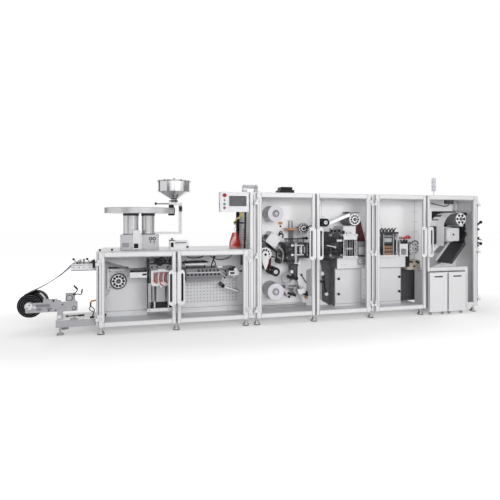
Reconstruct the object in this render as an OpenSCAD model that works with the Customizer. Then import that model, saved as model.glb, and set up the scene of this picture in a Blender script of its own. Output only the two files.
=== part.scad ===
// Blister packing machine: a low forming section with a tablet feeder on its
// table, a tall sealing and punching section behind glazed doors, a film
// unwinder at the left end and two waste bins at the right end.
// Millimetres, +Z up. The front faces -Y and the film runs from -X to +X.

/* [Housing] */
// Width of one door bay of the low forming section
low_bay_w = 890; // [800:10:1000]
// Width of one door bay of the tall section
tall_bay_w = 804; // [780:2:900]
// Width of the last bay, which holds the bins
last_bay_w = 852; // [800:2:940]
// Thickness of the tall section's left side wall
side_wall_t = 40; // [30:1:60]
// Depth of the housing from the frame's front face to the rear panels
depth = 700; // [640:5:900]
// Height of the base rails above the floor
base_z = 90; // [70:1:130]
// Height of the low section's table top
table_z = 935; // [900:5:1000]
// Height of the tall section's roof
tall_z = 1632; // [1560:2:1800]
// Height of the base rails
rail_h = 30; // [20:1:50]
// Thickness of the floor pans
pan_t = 6; // [3:1:12]
// Side of the square frame posts
post_w = 50; // [40:1:60]
// Thickness of the table top
table_t = 30; // [20:1:50]
// Thickness of the roof panel
roof_t = 30; // [20:1:50]
// Radius of the table's and the roof's front edges
edge_r = 9; // [4:1:14]
// Thickness of the end panels
end_t = 20; // [10:1:30]
// Thickness of the rear panels
rear_t = 15; // [8:1:25]
// Gap around each rear panel
rear_gap = 8; // [4:1:15]
// Gap between the film's back edge and the mounting plates
plate_gap = 14; // [10:1:30]
// Thickness of the mounting plates
plate_t = 20; // [12:1:30]
// Height of the mounting plates' lower edge
plate_z = 175; // [150:1:220]
// Gap between the two sections' plates and housings
section_joint = 4; // [2:1:8]
// Radius of a levelling foot's pad
foot_r = 40; // [30:1:55]
// Height of a levelling foot's pad
foot_h = 22; // [15:1:35]
// Radius of a levelling foot's screw
foot_screw_r = 12; // [8:1:16]
// Clearance beside the film in its slot and on the splice table
slot_clear = 15; // [10:1:20]
// Height of the film slot in the left end panel
slot_h = 60; // [40:1:100]
// Distance that the levers at the right end reach beyond the housing
lever_reach = 180; // [140:5:220]
// Distance from the tall section's left edge to the roof vent
vent_dx = 440; // [400:5:480]
// Width of the roof vent
vent_w = 200; // [160:5:240]
// Height of the roof vent
vent_h = 100; // [60:5:130]
// Distance from the last bay's left edge to the signal beacon
beacon_dx = 458; // [420:2:490]
// Height of the signal beacon
beacon_h = 284; // [220:4:320]
// Radius of the signal beacon's lamp
beacon_r = 30; // [20:1:40]

/* [Doors] */
// Thickness of a door leaf
door_t = 40; // [30:1:50]
// Gap between a door's back and the frame
door_stand = 6; // [5:1:10]
// Gap between two doors that meet
door_gap = 12; // [10:1:20]
// Distance from a bay's edge to the hinge axis
hinge_in = 30; // [28:1:36]
// Distance from the hinge axis to the door's edge
hinge_edge = 2; // [1:1:5]
// Width of a door's hinge stile
hinge_stile_w = 60; // [45:1:80]
// Width of a door's free stile
free_stile_w = 42; // [36:1:60]
// Height of a door's top and bottom rails
door_rail_h = 50; // [40:1:70]
// Radius of a door frame's front edges
door_edge_r = 8; // [4:1:12]
// Thickness of a door's pane
glass_t = 8; // [5:1:12]
// Gap between a door's top and the top of its section
door_top_gap = 10; // [6:1:20]
// Radius of a hinge barrel
barrel_r = 10; // [9:1:13]
// Radius of a hinge pin
pin_r = 5; // [4:0.5:6]
// Radial clearance of a hinge pin or roll shaft
run_clear = 0.06; // [0.02:0.01:0.1]
// Length of one hinge knuckle
knuckle_l = 34; // [24:1:40]
// Width of a hinge leaf on the door
leaf_w = 36; // [28:1:40]
// Distance from a door's ends to its hinges
hinge_end = 110; // [90:5:200]
// Width of a handle's outer bar
handle_bar_w = 14; // [10:1:20]
// Length of a handle plate
handle_l = 410; // [360:10:480]
// Thickness of a handle plate
handle_t = 20; // [14:1:24]
// Width of a handle's finger slot
handle_slot_w = 30; // [26:1:40]
// Length of a handle's finger slot
handle_slot_l = 330; // [280:10:350]
// Height of the low doors' handles above the floor, at their middle
low_handle_z = 505; // [450:5:560]
// Height of the tall doors' handles above the floor, at their middle
tall_handle_z = 993; // [900:5:1100]
// Width of the cut-out for the waste bins in the last door
notch_w = 616; // [600:2:640]
// Height of the cut-out for the waste bins above the floor
notch_z = 590; // [560:5:640]

/* [Feeder] */
// Distance from the low section's left end to the feeder disc's axis
feeder_x = 465; // [440:5:500]
// Distance from the frame's front face to the feeder disc's axis
feeder_y = 350; // [340:5:420]
// Radius of the feeder disc
disc_r = 415; // [380:5:430]
// Height of the feeder disc's rim
disc_h = 66; // [50:1:90]
// Thickness of the feeder disc's floor and rim
disc_wall = 14; // [8:1:20]
// Height of the feeder's boxes on the table
feeder_box_h = 178; // [150:2:220]
// Depth of the feeder's boxes
feeder_box_d = 200; // [180:5:240]
// Width of the feeder's left box
left_box_w = 150; // [120:2:170]
// Width of the feeder's right box
right_box_w = 195; // [160:5:210]
// Distance between the axes of the feeder's two columns
column_gap = 203; // [190:1:220]
// Height of the feeder's two columns
feeder_column_h = 258; // [200:2:300]
// Radius of the feeder's left column
left_column_r = 90; // [70:1:94]
// Radius of the feeder's right column
right_column_r = 78; // [60:1:85]
// Height of the collars under the disc
collar_h = 24; // [16:1:40]
// Radius of the hopper's drum
hopper_r = 199; // [180:1:220]
// Height of the hopper's drum
hopper_drum_h = 132; // [100:1:180]
// Height of the hopper's cone
hopper_cone_h = 94; // [80:1:130]
// Radius of the hopper's neck
neck_r = 34; // [30:1:45]
// Height of the hopper's neck
neck_h = 40; // [30:1:60]
// Wall of the hopper
hopper_wall = 5; // [3:0.5:8]
// Width of the rolled rim round the hopper's top
hopper_rim = 7; // [4:1:12]
// Distance from the feeder disc's axis to the hopper's axis
hopper_dx = 414; // [400:2:440]
// Height of the hopper's neck above the feeder disc's rim
hopper_lift = 72; // [60:2:120]
// Side of the hopper stand's square column
stand_w = 40; // [30:1:50]
// Thickness of the gate plate under the hopper's neck
gate_t = 30; // [20:1:36]
// Length of the gate's two pull rods
gate_rod_l = 160; // [120:5:200]
// Distance from the feeder disc's axis to the brush box
brush_dx = 350; // [330:2:370]
// Length of the brush box
brush_l = 236; // [200:4:280]
// Depth of the brush box
brush_d = 190; // [150:5:220]
// Height of the brush box
brush_h = 108; // [90:2:130]

/* [Console] */
// Width of the operator console
console_w = 355; // [320:5:400]
// Height of the operator console
console_h = 244; // [220:2:300]
// Depth of the operator console
console_d = 110; // [80:5:140]
// Gap between the console and the tall section's side wall
console_gap = 16; // [10:1:60]
// Distance from the roof down to the console's lower edge
console_drop = 243; // [230:1:300]
// Radius of the console's support pipe
console_pipe_r = 22; // [18:1:28]
// Height of the console's support pipe above the roof
console_pipe_up = 70; // [50:5:100]
// Width of the console's screen
screen_w = 204; // [160:4:220]
// Height of the console's screen
screen_h = 114; // [100:2:160]
// Width of the raised frame round the screen
bezel_w = 18; // [10:1:26]
// Height of the raised frame round the screen
bezel_h = 6; // [3:1:10]
// Height of the curly air hose
hose_h = 300; // [260:5:340]
// Radius of the curly air hose's lowest turn
hose_r = 80; // [60:1:90]
// Radius of the cable conduit
conduit_r = 24; // [18:1:30]

/* [Unwinder] */
// Radius of the film roll
roll_r = 132; // [120:2:180]
// Width of the film and of every roll
film_w = 270; // [250:2:276]
// Thickness of the film
film_t = 1.5; // [1:0.1:2]
// Distance from the low section's left end to the film roll's axis
roll_dx = 700; // [660:5:760]
// Height of the film roll's axis above the floor
roll_z = 342; // [300:2:380]
// Radius of the roll shafts
shaft_r = 20; // [15:0.5:26]
// Distance from the frame's front face to the front of the film
film_y = 96; // [90:1:100]
// Height of the unwinder's arm
arm_h = 108; // [80:2:130]
// Thickness of the unwinder's arm
arm_t = 24; // [16:1:30]
// Gap between the unwinder's arm and the film roll
arm_gap = 4; // [3.5:0.5:8]
// Length of the base beam beyond the low section's left end
beam_l = 430; // [380:5:520]
// Height of the base beam
beam_h = 84; // [70:2:130]
// Depth of the base beam
beam_d = 340; // [300:5:380]
// Length of the splice table
splice_l = 276; // [240:2:300]
// Height of the splice table's film above the floor
splice_z = 791; // [760:5:820]
// Height of the splice table's body
splice_h = 78; // [60:2:100]
// Clearance above the film in clamps and dies
film_gap = 5; // [3:0.5:10]

/* [Forming section] */
// Height of the film through the low section
low_web_z = 698; // [680:2:720]
// Distance from the low section's left end to the infeed wheel's axis
infeed_wheel_dx = 217; // [200:1:240]
// Height of the infeed wheel's axis
infeed_wheel_z = 550; // [530:2:560]
// Radius of the infeed wheel
infeed_wheel_r = 93; // [80:1:100]
// Distance from the low section's left end to the wheel guard
guard_dx = 100; // [80:2:110]
// Length of the wheel guard
guard_l = 226; // [200:2:250]
// Height of the wheel guard
guard_h = 224; // [200:2:240]
// Width of the wheel guard's bar
guard_w = 30; // [20:1:40]
// Distance from the low section's left end to the guide box
guide_box_dx = 360; // [350:1:365]
// Length of the guide box
guide_box_l = 193; // [180:1:210]
// Height of the guide box
guide_box_h = 81; // [60:1:90]
// Distance from the low section's left end to the forming unit
forming_dx = 587; // [580:1:620]
// Width of the forming unit's upper die
forming_w = 280; // [260:2:300]
// Height of the forming unit's upper die
forming_h = 102; // [90:2:120]
// Height of the forming unit's lower die
forming_low_h = 185; // [160:5:200]
// Width of the forming unit's column
forming_column_w = 100; // [80:2:120]
// Height of the forming unit's foot beam above the floor
forming_beam_z = 211; // [200:1:230]
// Height of the forming unit's foot beam
forming_beam_h = 39; // [30:1:50]
// Distance from the second bay's left edge to the cooling rail
cooling_dx = 119; // [100:1:140]
// Length of the cooling rail
cooling_l = 430; // [400:5:460]
// Height of the cooling rail
cooling_h = 110; // [90:2:120]
// Height of the cooling rail's lip
cooling_lip_h = 37; // [20:1:45]
// Length of the cooling rail's outfeed bracket
outfeed_l = 180; // [160:2:200]
// Radius of the outfeed roller
outfeed_r = 22; // [16:1:28]
// Distance from the perforated panel to the bay's two edges
panel_in = 80; // [60:5:100]
// Height of the perforated panel's lower edge
panel_z = 236; // [220:2:260]
// Height of the perforated panel
panel_h = 294; // [250:2:300]
// Thickness of the perforated panel
panel_t = 10; // [6:1:12]
// Distance from the second bay's left edge to the dancer roller
dancer_dx = 582; // [560:2:600]
// Height of the dancer roller's axis
dancer_z = 466; // [440:2:480]
// Radius of the dancer roller
dancer_r = 27; // [20:1:34]
// Length of the dancer's arm
dancer_l = 198; // [180:2:220]
// Drop of the dancer's pivot below its roller
dancer_drop = 71; // [50:1:90]

/* [Rolls and wheels] */
// Radius of the upper foil roll
upper_roll_r = 104; // [90:2:150]
// Radius of the lower foil roll
lower_roll_r = 106; // [80:2:120]
// Distance from the tall section's left edge to the foil rolls' axes
foil_dx = 318; // [300:2:330]
// Height of the lower foil roll's axis
lower_roll_z = 378; // [350:2:400]
// Thickness of a guide wheel's front disc
wheel_t = 30; // [20:1:40]
// Number of holes in a guide wheel
wheel_holes = 10; // [6:1:12]
// Distance from the tall section's left edge to the seal wheel's axis
seal_wheel_dx = 175; // [165:1:185]
// Height of the seal wheel's axis
seal_wheel_z = 862; // [850:1:875]
// Radius of the seal wheel
seal_wheel_r = 83; // [70:1:90]
// Distance from the tall section's left edge to the tension wheel's axis
tension_wheel_dx = 712; // [690:2:730]
// Height of the tension wheel's axis
tension_wheel_z = 1179; // [1160:1:1200]
// Radius of the tension wheel
tension_wheel_r = 72; // [60:1:80]
// Distance from the coding bay's left edge to the scrap wheel's axis
scrap_wheel_dx = 608; // [590:2:620]
// Height of the scrap wheel's axis
scrap_wheel_z = 1297; // [1290:1:1320]
// Radius of the scrap wheel
scrap_wheel_r = 80; // [60:1:82]
// Distance from the right end to the outfeed wheel's axis
outfeed_wheel_dx = 194; // [185:1:200]
// Height of the outfeed wheel's axis
outfeed_wheel_z = 1304; // [1295:1:1315]
// Radius of the outfeed wheel
outfeed_wheel_r = 87; // [75:1:90]
// Distance from the tall section's left edge to the rubber roller's axis
rubber_roller_dx = 314; // [300:2:330]
// Height of the rubber roller's axis
rubber_roller_z = 632; // [610:2:660]
// Radius of the rubber roller
rubber_roller_r = 56; // [45:1:60]
// Distance from the coding bay's left edge to the idle roller's axis
idle_roller_dx = 191; // [180:1:200]
// Height of the idle roller's axis
idle_roller_z = 1257; // [1240:1:1280]
// Radius of the idle roller
idle_roller_r = 53; // [40:1:60]
// Side of the tilted drive box
drive_box_w = 155; // [130:1:160]
// Tilt of the drive box in degrees
drive_box_tilt = 38; // [30:1:45]
// Height of the drive box's middle
drive_box_z = 1034; // [1030:1:1050]

/* [Stations] */
// Height of the film through the sealing station
seal_web_z = 885; // [880:1:890]
// Height of the film through the coding and punch stations
tall_web_z = 940; // [930:1:950]
// Thickness of a die set's base and head plates
die_plate_t = 24; // [16:1:34]
// Radius of a die set's guide columns
die_column_r = 12; // [8:1:14]
// Distance from the tall section's left edge to the sealing station
seal_dx = 439; // [430:1:450]
// Width of the sealing station
seal_w = 329; // [310:1:340]
// Height of the sealing station's base above the floor
seal_z = 801; // [790:1:810]
// Height of the sealing station
seal_h = 195; // [180:1:210]
// Distance from the coding bay's left edge to the coding station
coding_dx = 236; // [226:1:240]
// Width of the coding station
coding_w = 186; // [170:1:188]
// Distance from the coding bay's left edge to the perforating station
perforating_dx = 426; // [426:1:436]
// Width of the perforating station
perforating_w = 215; // [200:1:220]
// Width of the guide block after the perforating station
guide_block_w = 145; // [120:1:150]
// Height of the guide block's top above the floor
guide_block_top = 1000; // [980:2:1020]
// Distance from the punch bay's left edge to the punch station
punch_dx = 138; // [128:1:150]
// Width of the punch station
punch_w = 306; // [280:1:320]
// Height of the stations' base above the floor
station_z = 790; // [780:1:800]
// Height of the coding station
coding_h = 342; // [320:1:360]
// Height of the perforating station
perforating_h = 314; // [300:1:330]
// Height of the punch station
punch_h = 337; // [320:1:350]
// Distance from the frame's front face to the cabinets' doors
cabinet_y = 240; // [220:2:260]
// Distance that a cabinet's top stands out in front of its door
cabinet_top_out = 90; // [60:2:110]
// Height of a cabinet's top
cabinet_top_h = 153; // [130:1:170]
// Distance that a cabinet's top stands out at each side
cabinet_step = 10; // [0:1:20]
// Distance from the coding bay's left edge to its cabinet
coding_cabinet_dx = 384; // [370:2:386]
// Width of the coding bay's cabinet
coding_cabinet_w = 414; // [390:2:420]
// Distance from the punch bay's left edge to its cabinet
punch_cabinet_dx = 158; // [140:2:170]
// Width of the punch bay's cabinet
punch_cabinet_w = 454; // [430:2:460]
// Distance from the punch bay's left edge to the trim bracket
trim_dx = 483; // [478:1:486]
// Width of the trim bracket
trim_w = 125; // [110:1:126]
// Height of the trim bracket
trim_h = 211; // [190:1:230]
// Radius of the trim drum's cover
drum_r = 82; // [70:1:84]
// Distance from the punch bay's left edge to the trim drum's axis
drum_dx = 772; // [760:1:780]
// Height of the trim drum's axis
drum_z = 887; // [870:1:900]
// Width of the waste guide plate
waste_plate_w = 210; // [180:2:230]
// Height of the waste guide plate
waste_plate_h = 133; // [120:1:150]

/* [Discharge] */
// Width of the discharge gearbox
gearbox_w = 209; // [190:1:216]
// Height of the discharge gearbox
gearbox_h = 189; // [170:1:200]
// Height of the gearbox's lower edge
gearbox_z = 987; // [980:1:1000]
// Distance from the right end to the gearbox
gearbox_in = 168; // [160:1:180]
// Width of the ejector
ejector_w = 50; // [40:1:60]
// Height of the ejector
ejector_h = 455; // [420:5:460]
// Height of the ejector's lower edge
ejector_z = 923; // [900:1:940]
// Distance from the right end to the ejector
ejector_in = 34; // [30:1:40]
// Radius of the arched film guide
arch_r = 215; // [210:1:220]
// Thickness of the arched film guide
arch_t = 5; // [4:0.5:8]
// Length of the arched film guide's straight leg
arch_leg = 260; // [220:5:280]
// Distance from the last bay's left edge to the sensor box under the roof
sensor_box_dx = 357; // [340:1:370]
// Width of the sensor box
sensor_box_w = 120; // [100:1:150]
// Height of the sensor box
sensor_box_h = 89; // [70:1:100]
// Run of the discharge chute along the machine
chute_run = 235; // [220:1:245]
// Fall of the discharge chute
chute_fall = 280; // [260:2:300]
// Distance from the gearbox's lower edge down to the chute's upper end
chute_drop = 31; // [28:1:50]
// Distance from the right end to the chute's upper end
chute_in = 134; // [120:2:160]
// Thickness of the chute's floor
chute_t = 14; // [8:1:20]
// Height of the chute's side rails
chute_rail_h = 30; // [20:1:36]

/* [Waste bins] */
// Width of a waste bin
bin_w = 284; // [270:1:290]
// Depth of a waste bin
bin_d = 320; // [280:5:340]
// Height of a waste bin's body
bin_h = 530; // [480:5:540]
// Wall of a waste bin
bin_wall = 6; // [3:0.5:10]
// Height of a bin's casters
caster_h = 46; // [36:1:50]
// Width of a caster's wheel
caster_w = 20; // [14:1:26]
// Gap between the two bins, and from a bin to the cut-out's left edge
bin_gap = 14; // [10:1:20]
// Distance from the frame's front face forward to the bins' fronts
bin_proud = 84; // [60:1:100]

/* [Hidden] */
$fn = 64;

low_end_x = 2 * low_bay_w;
tall_x0 = low_end_x + side_wall_t;
function tall_x(bay) = tall_x0 + min(bay, 3) * tall_bay_w + (bay > 3 ? last_bay_w : 0);
coding_bay = tall_x(1);
punch_bay = tall_x(2);
end_x = tall_x(4);

film_back = film_y + film_w;
bay_d = film_back + plate_gap;
rail_top = base_z + rail_h;
table_under = table_z - table_t;
roof_under = tall_z - roof_t;
plate_back = bay_d + plate_t;
housing_back = depth - rear_t;

door_front = -(door_stand + door_t);
hinge_y = door_front - barrel_r - 5;
hinge_set = hinge_in + hinge_edge;
leg_in = 4;
leg_w = hinge_in - barrel_r;
handle_front = door_front - handle_t;
handle_w = free_stile_w + handle_slot_w + handle_bar_w;
notch_x = tall_x(3) + notch_w;

left_end = -(roll_dx + roll_r);
right_end = end_x + lever_reach;
front_end = -max(bin_proud, disc_r - feeder_y);
rear_end = max(depth, feeder_y + disc_r);
centre = [(left_end + right_end) / 2, (front_end + rear_end) / 2, 0];

feeder_top = table_z + feeder_box_h;
disc_z = feeder_top + feeder_column_h;
left_column_x = feeder_x - column_gap * 0.52;
right_column_x = left_column_x + column_gap;
hopper_x = feeder_x + hopper_dx;
stand_x = hopper_x + neck_r + stand_w * 0.6;
neck_z = disc_z + disc_h + hopper_lift;
hopper_top = neck_z + neck_h + hopper_cone_h + hopper_drum_h;
console_z = tall_z - console_drop;
hose_x = low_end_x - hose_r - conduit_r * 1.5;
hose_y = feeder_y + 10;

arm_front = film_y - arm_gap - arm_t;
arm_z = roll_z - arm_h * 0.7;
foil_x = tall_x0 + foil_dx;
drive_box_top = drive_box_z + drive_box_w / 2 * (sin(drive_box_tilt) + cos(drive_box_tilt));
upper_roll_z = (roof_under + drive_box_top) / 2;

// Dies and film wheels stand around the film: wheels and plates reach out in front of it
wheel_front = film_y - 12;
die_front = film_y - 34;
die_step = 28;
column_in = 18;
die_inset = column_in + die_column_r + 6;
wrap_gap = 0.3;
bin_x = tall_x(3) + bin_gap;

steel = [0.78, 0.79, 0.80];
white_paint = [0.88, 0.88, 0.87];
plate_grey = [0.66, 0.66, 0.69];
black = [0.10, 0.10, 0.11];
dark_grey = [0.30, 0.30, 0.32];
film_grey = [0.55, 0.55, 0.57];
pane = [0.80, 0.86, 0.88, 0.3];

// Doors: bay edge at the hinge, bay width, top, direction from hinge to free edge, handle height
DOORS = [
    [0, low_bay_w, table_z, 1, low_handle_z],
    [low_end_x, low_bay_w, table_z, -1, low_handle_z],
    [tall_x(0), tall_bay_w, tall_z, 1, tall_handle_z],
    [tall_x(2), tall_bay_w, tall_z, -1, tall_handle_z],
    [tall_x(2), tall_bay_w, tall_z, 1, tall_handle_z],
    [tall_x(4), last_bay_w, tall_z, -1, tall_handle_z]];
LAST_DOOR = 5;
function door_w(door) = door[1] - hinge_set - door_gap / 2;
function door_h(door) = door[2] - door_top_gap - base_z;
function hinge_heights(door) = let (low = base_z + hinge_end, high = door[2] - door_top_gap - hinge_end)
    door[2] == tall_z ? [low, (low + high) / 2, high] : [low, high];
function cut_w(index) = index == LAST_DOOR ? notch_w - door_gap / 2 : 0;
function cut_h(index) = index == LAST_DOOR ? notch_z - base_z : 0;

// Feet stand under the front and rear rails at the ends of every bay
FOOT_X = [post_w, low_bay_w, low_end_x - post_w, tall_x(0) + post_w, tall_x(1), tall_x(2), tall_x(3) - post_w,
    end_x - post_w];

// Where a straight run of film from a point leaves a wheel, on the side that the sign gives
function leaves_wheel(axis, r, point, side) = let (run = point - axis,
    turn = atan2(run.y, run.x) + side * acos(r / norm(run))) axis + r * [cos(turn), sin(turn)];
// Turn at which a run of film crosses from under one wheel to over the next
function crossing_turn(a, ra, b, rb) = let (run = b - a) atan2(run.y, run.x) - acos((ra + rb) / norm(run));

module centred() translate(-centre) children();
module box(low, high) translate(low) cube(high - low);
module rod_x(y, z, r, x0, x1) translate([x0, y, z]) rotate([0, 90, 0]) cylinder(r = r, h = x1 - x0);
module rod_y(x, z, r, y0, y1) translate([x, y1, z]) rotate([90, 0, 0]) cylinder(r = r, h = y1 - y0);
module rod_z(x, y, r, z0, z1) translate([x, y, z0]) cylinder(r = r, h = z1 - z0);
module scale_x(way) mirror([way < 0 ? 1 : 0, 0, 0]) children();

// Flat outline with round corners, from the origin
module round_rect(size, r) {
    translate([r, 0]) square([size.x - 2 * r, size.y]);
    translate([0, r]) square([size.x, size.y - 2 * r]);
    for (x = [r, size.x - r], y = [r, size.y - r]) translate([x, y]) circle(r);
}

// Flat bar with round ends from one point to another
module link(from, to, r) {
    run = to - from;
    translate(from) {
        rotate(atan2(run.y, run.x)) translate([0, -r]) square([norm(run), 2 * r]);
        circle(r);
    }
    translate(to) circle(r);
}

// Flat arm with a round boss at each end
module arm(from, to, half_w, boss_r) {
    run = to - from;
    translate(from) rotate(atan2(run.y, run.x)) translate([0, -half_w]) square([norm(run), 2 * half_w]);
    for (at = [from, to]) translate(at) circle(boss_r);
}

// Outline drawn in X and Z, given a thickness from y0 back to y1
module upright(y0, y1) translate([0, y1, 0]) rotate([90, 0, 0]) linear_extrude(y1 - y0) children();

// Outline drawn in Y and Z, drawn out along X
module along_x(x0, x1) translate([x0, 0, 0]) rotate([90, 0, 90]) linear_extrude(x1 - x0) children();

// Slab section with its upper front edge rounded
module slab(d, t, r) {
    translate([r, 0]) square([d - r, t]);
    square([r, t - r]);
    translate([r, t - r]) circle(r);
}

// Plain block standing on the mounting plate's front face
module on_plate(x0, x1, z0, z1, y0) box([x0, y0, z0], [x1, bay_d, z1]);

// Wheel with a ring of round holes and a hub that reaches back to the mounting plate
module guide_wheel(x, z, r, front) {
    difference() {
        rod_y(x, z, r, front, front + wheel_t);
        for (turn = [0 : wheel_holes - 1])
            translate([x, 0, z]) rotate([0, turn * 360 / wheel_holes, 0])
                rod_y(r * 0.68, 0, r * 0.15, front - 1, front + wheel_t + 1);
        rod_y(x, z, r * 0.86, front - 1, front + 4);
    }
    rod_y(x, z, r * 0.32, front - 6, front + wheel_t);
    rod_y(x, z, r * 0.26, front + wheel_t, bay_d);
}

// Guide wheel with a drum behind it that carries the full width of the film
module film_wheel(axis, r) {
    guide_wheel(axis.x, axis.y, r, wheel_front);
    rod_y(axis.x, axis.y, r, wheel_front + wheel_t, film_back + plate_gap / 2);
}

// Roller on a shaft in the mounting plate
module roller(x, z, r) {
    rod_y(x, z, r, wheel_front, film_back + plate_gap / 2);
    rod_y(x, z, r * 0.5, film_back + plate_gap / 2, bay_d);
}

// Die set: base plate and lower die under the film, upper die and head plate
// over it, and two guide columns in front of the film
module die_set(x, w, z, h, web) {
    top = z + h;
    on_plate(x, x + w, z, z + die_plate_t, die_front);
    on_plate(x, x + w, top - die_plate_t, top, die_front);
    on_plate(x + die_inset, x + w - die_inset, z + die_plate_t, web, die_front + die_step);
    on_plate(x + die_inset, x + w - die_inset, web + film_gap, top - die_plate_t, die_front + die_step);
    for (column_x = [x + column_in, x + w - column_in])
        rod_z(column_x, die_front + column_in, die_column_r, z + die_plate_t, top - die_plate_t);
}

// Housing
module base_rails() color(plate_grey) centred() {
    box([0, 0, base_z], [tall_x(3) - door_gap, post_w, rail_top]);
    box([notch_x, 0, base_z], [end_x, post_w, rail_top]);
    box([0, housing_back - post_w, base_z], [end_x, housing_back, rail_top]);
}

module levelling_feet() color(dark_grey) centred()
    for (x = FOOT_X, y = [post_w / 2, housing_back - post_w / 2]) {
        rod_z(x, y, foot_r, 0, foot_h / 2);
        translate([x, y, foot_h / 2]) cylinder(r1 = foot_r, r2 = foot_screw_r * 1.6, h = foot_h / 2);
        rod_z(x, y, foot_screw_r, foot_h, base_z);
    }

module floor_pans() color(steel) centred() {
    rear_rail_y = housing_back - post_w;
    box([0, post_w, rail_top - pan_t], [tall_x(3) - door_gap, rear_rail_y, rail_top]);
    box([notch_x, post_w, rail_top - pan_t], [end_x, rear_rail_y, rail_top]);
}

module frame_posts() color(white_paint) centred() {
    box([0, 0, rail_top], [post_w, post_w, table_under]);
    box([low_end_x - post_w, 0, rail_top], [tall_x0 + post_w, post_w, table_under]);
    box([tall_x0, 0, table_under], [tall_x0 + post_w, post_w, roof_under]);
    box([tall_x(2) - post_w, 0, rail_top], [tall_x(2) + post_w, post_w, roof_under]);
    box([end_x - post_w, 0, rail_top], [end_x, post_w, roof_under]);
}

// Fixed half of a lift-off hinge: a leg on the post, a lower barrel and the pin
module hinge_bracket(edge, way, z) translate([edge, 0, z]) scale_x(way) {
    box([leg_in, hinge_y - barrel_r, -knuckle_l], [leg_in + leg_w, 0, -1]);
    translate([hinge_in, hinge_y, -knuckle_l]) cylinder(r = barrel_r, h = knuckle_l - 1);
    box([leg_in + leg_w, hinge_y - barrel_r, -knuckle_l], [hinge_in, hinge_y + barrel_r, -1]);
    translate([hinge_in, hinge_y, -knuckle_l]) cylinder(r = pin_r, h = 2 * knuckle_l - 2);
}

module hinge_brackets() color(white_paint) centred()
    for (door = DOORS, z = hinge_heights(door)) hinge_bracket(door[0], door[3], z);

module mounting_plates() color(plate_grey) centred() {
    box([end_t, bay_d, plate_z], [tall_x0 - section_joint, plate_back, table_under]);
    box([tall_x0, bay_d, plate_z], [end_x - end_t, plate_back, roof_under]);
}

module rear_housings() color(white_paint) centred() {
    box([0, plate_back, rail_top], [tall_x0 - section_joint, housing_back, table_under]);
    box([tall_x0, plate_back, rail_top], [end_x, housing_back, roof_under]);
}

module rear_panels() color(white_paint) centred() {
    for (bay = [0 : 1])
        box([bay * low_bay_w + rear_gap, housing_back, rail_top + rear_gap],
            [(bay + 1) * low_bay_w - rear_gap, depth, table_under - rear_gap]);
    for (bay = [0 : 3])
        box([tall_x(bay) + rear_gap, housing_back, rail_top + rear_gap],
            [tall_x(bay + 1) - rear_gap, depth, roof_under - rear_gap]);
}

module end_panels() color(white_paint) centred() {
    difference() {
        box([0, post_w, rail_top], [end_t, plate_back, table_under]);
        box([-1, film_y - slot_clear, splice_z], [end_t + 1, film_back + slot_clear, splice_z + slot_h]);
    }
    box([low_end_x, 0, table_z], [tall_x0, housing_back, roof_under]);
    box([end_x - end_t, post_w, rail_top], [end_x, plate_back, roof_under]);
}

module roof_panel() color(white_paint) centred()
    translate([0, 0, roof_under]) along_x(low_end_x, end_x) slab(depth, roof_t, edge_r);

module table_top() color(steel) centred()
    translate([0, 0, table_under]) along_x(0, tall_x0) slab(depth, table_t, edge_r);

// Feeder on the table: two boxes with a lower block between them, and two columns with collars
module feeder_base() color(steel) centred() {
    y0 = feeder_y - feeder_box_d / 2;
    y1 = feeder_y + feeder_box_d / 2;
    left_x1 = left_column_x + left_box_w * 0.2;
    right_x0 = right_column_x - right_box_w / 3;
    box([left_x1 - left_box_w, y0, table_z], [left_x1, y1, feeder_top]);
    box([left_x1, y0 + feeder_box_d / 10, table_z], [right_x0, y1, feeder_top]);
    box([right_x0, y0, table_z], [right_x0 + right_box_w, y1, feeder_top]);
    for (column = [[left_column_x, left_column_r], [right_column_x, right_column_r]]) {
        rod_z(column[0], feeder_y, column[1], feeder_top, disc_z - collar_h);
        rod_z(column[0], feeder_y, column[1] + 5, disc_z - collar_h, disc_z);
    }
}

// Tray with a turned rim
module feeder_disc() color(steel) centred() translate([feeder_x, feeder_y, disc_z]) difference() {
    cylinder(r = disc_r, h = disc_h, $fn = 128);
    translate([0, 0, disc_wall]) cylinder(r = disc_r - disc_wall, h = disc_h, $fn = 128);
}

module hopper_profile(r, low_r, extra) {
    square([low_r, neck_h]);
    translate([0, neck_h]) polygon([[0, 0], [low_r, 0], [r, hopper_cone_h], [0, hopper_cone_h]]);
    translate([0, neck_h + hopper_cone_h]) square([r, hopper_drum_h + extra]);
}

module hopper() color(steel) centred() translate([hopper_x, feeder_y, neck_z]) rotate_extrude($fn = 96)
    difference() {
        union() {
            hopper_profile(hopper_r, neck_r, 0);
            translate([0, hopper_top - neck_z - hopper_rim]) square([hopper_r + hopper_rim, hopper_rim]);
            square([neck_r + hopper_rim, hopper_rim]);
        }
        translate([0, -1]) square([neck_r - hopper_wall, neck_h + 2]);
        hopper_profile(hopper_r - hopper_wall, neck_r - hopper_wall, 1);
    }

module hopper_lid() color(steel) centred() translate([hopper_x, feeder_y, hopper_top]) rotate_extrude($fn = 96) {
    rim_r = hopper_r + hopper_rim;
    square([rim_r, hopper_rim]);
    translate([0, hopper_rim]) polygon([[0, 0], [rim_r * 0.9, 0], [rim_r * 0.2, rim_r / 20], [0, rim_r / 20]]);
    translate([0, hopper_rim + rim_r / 20]) square([hopper_rim, 2 * hopper_rim]);
    translate([0, 3 * hopper_rim + rim_r / 20]) square([2 * hopper_rim, 1.5 * hopper_rim]);
}

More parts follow.
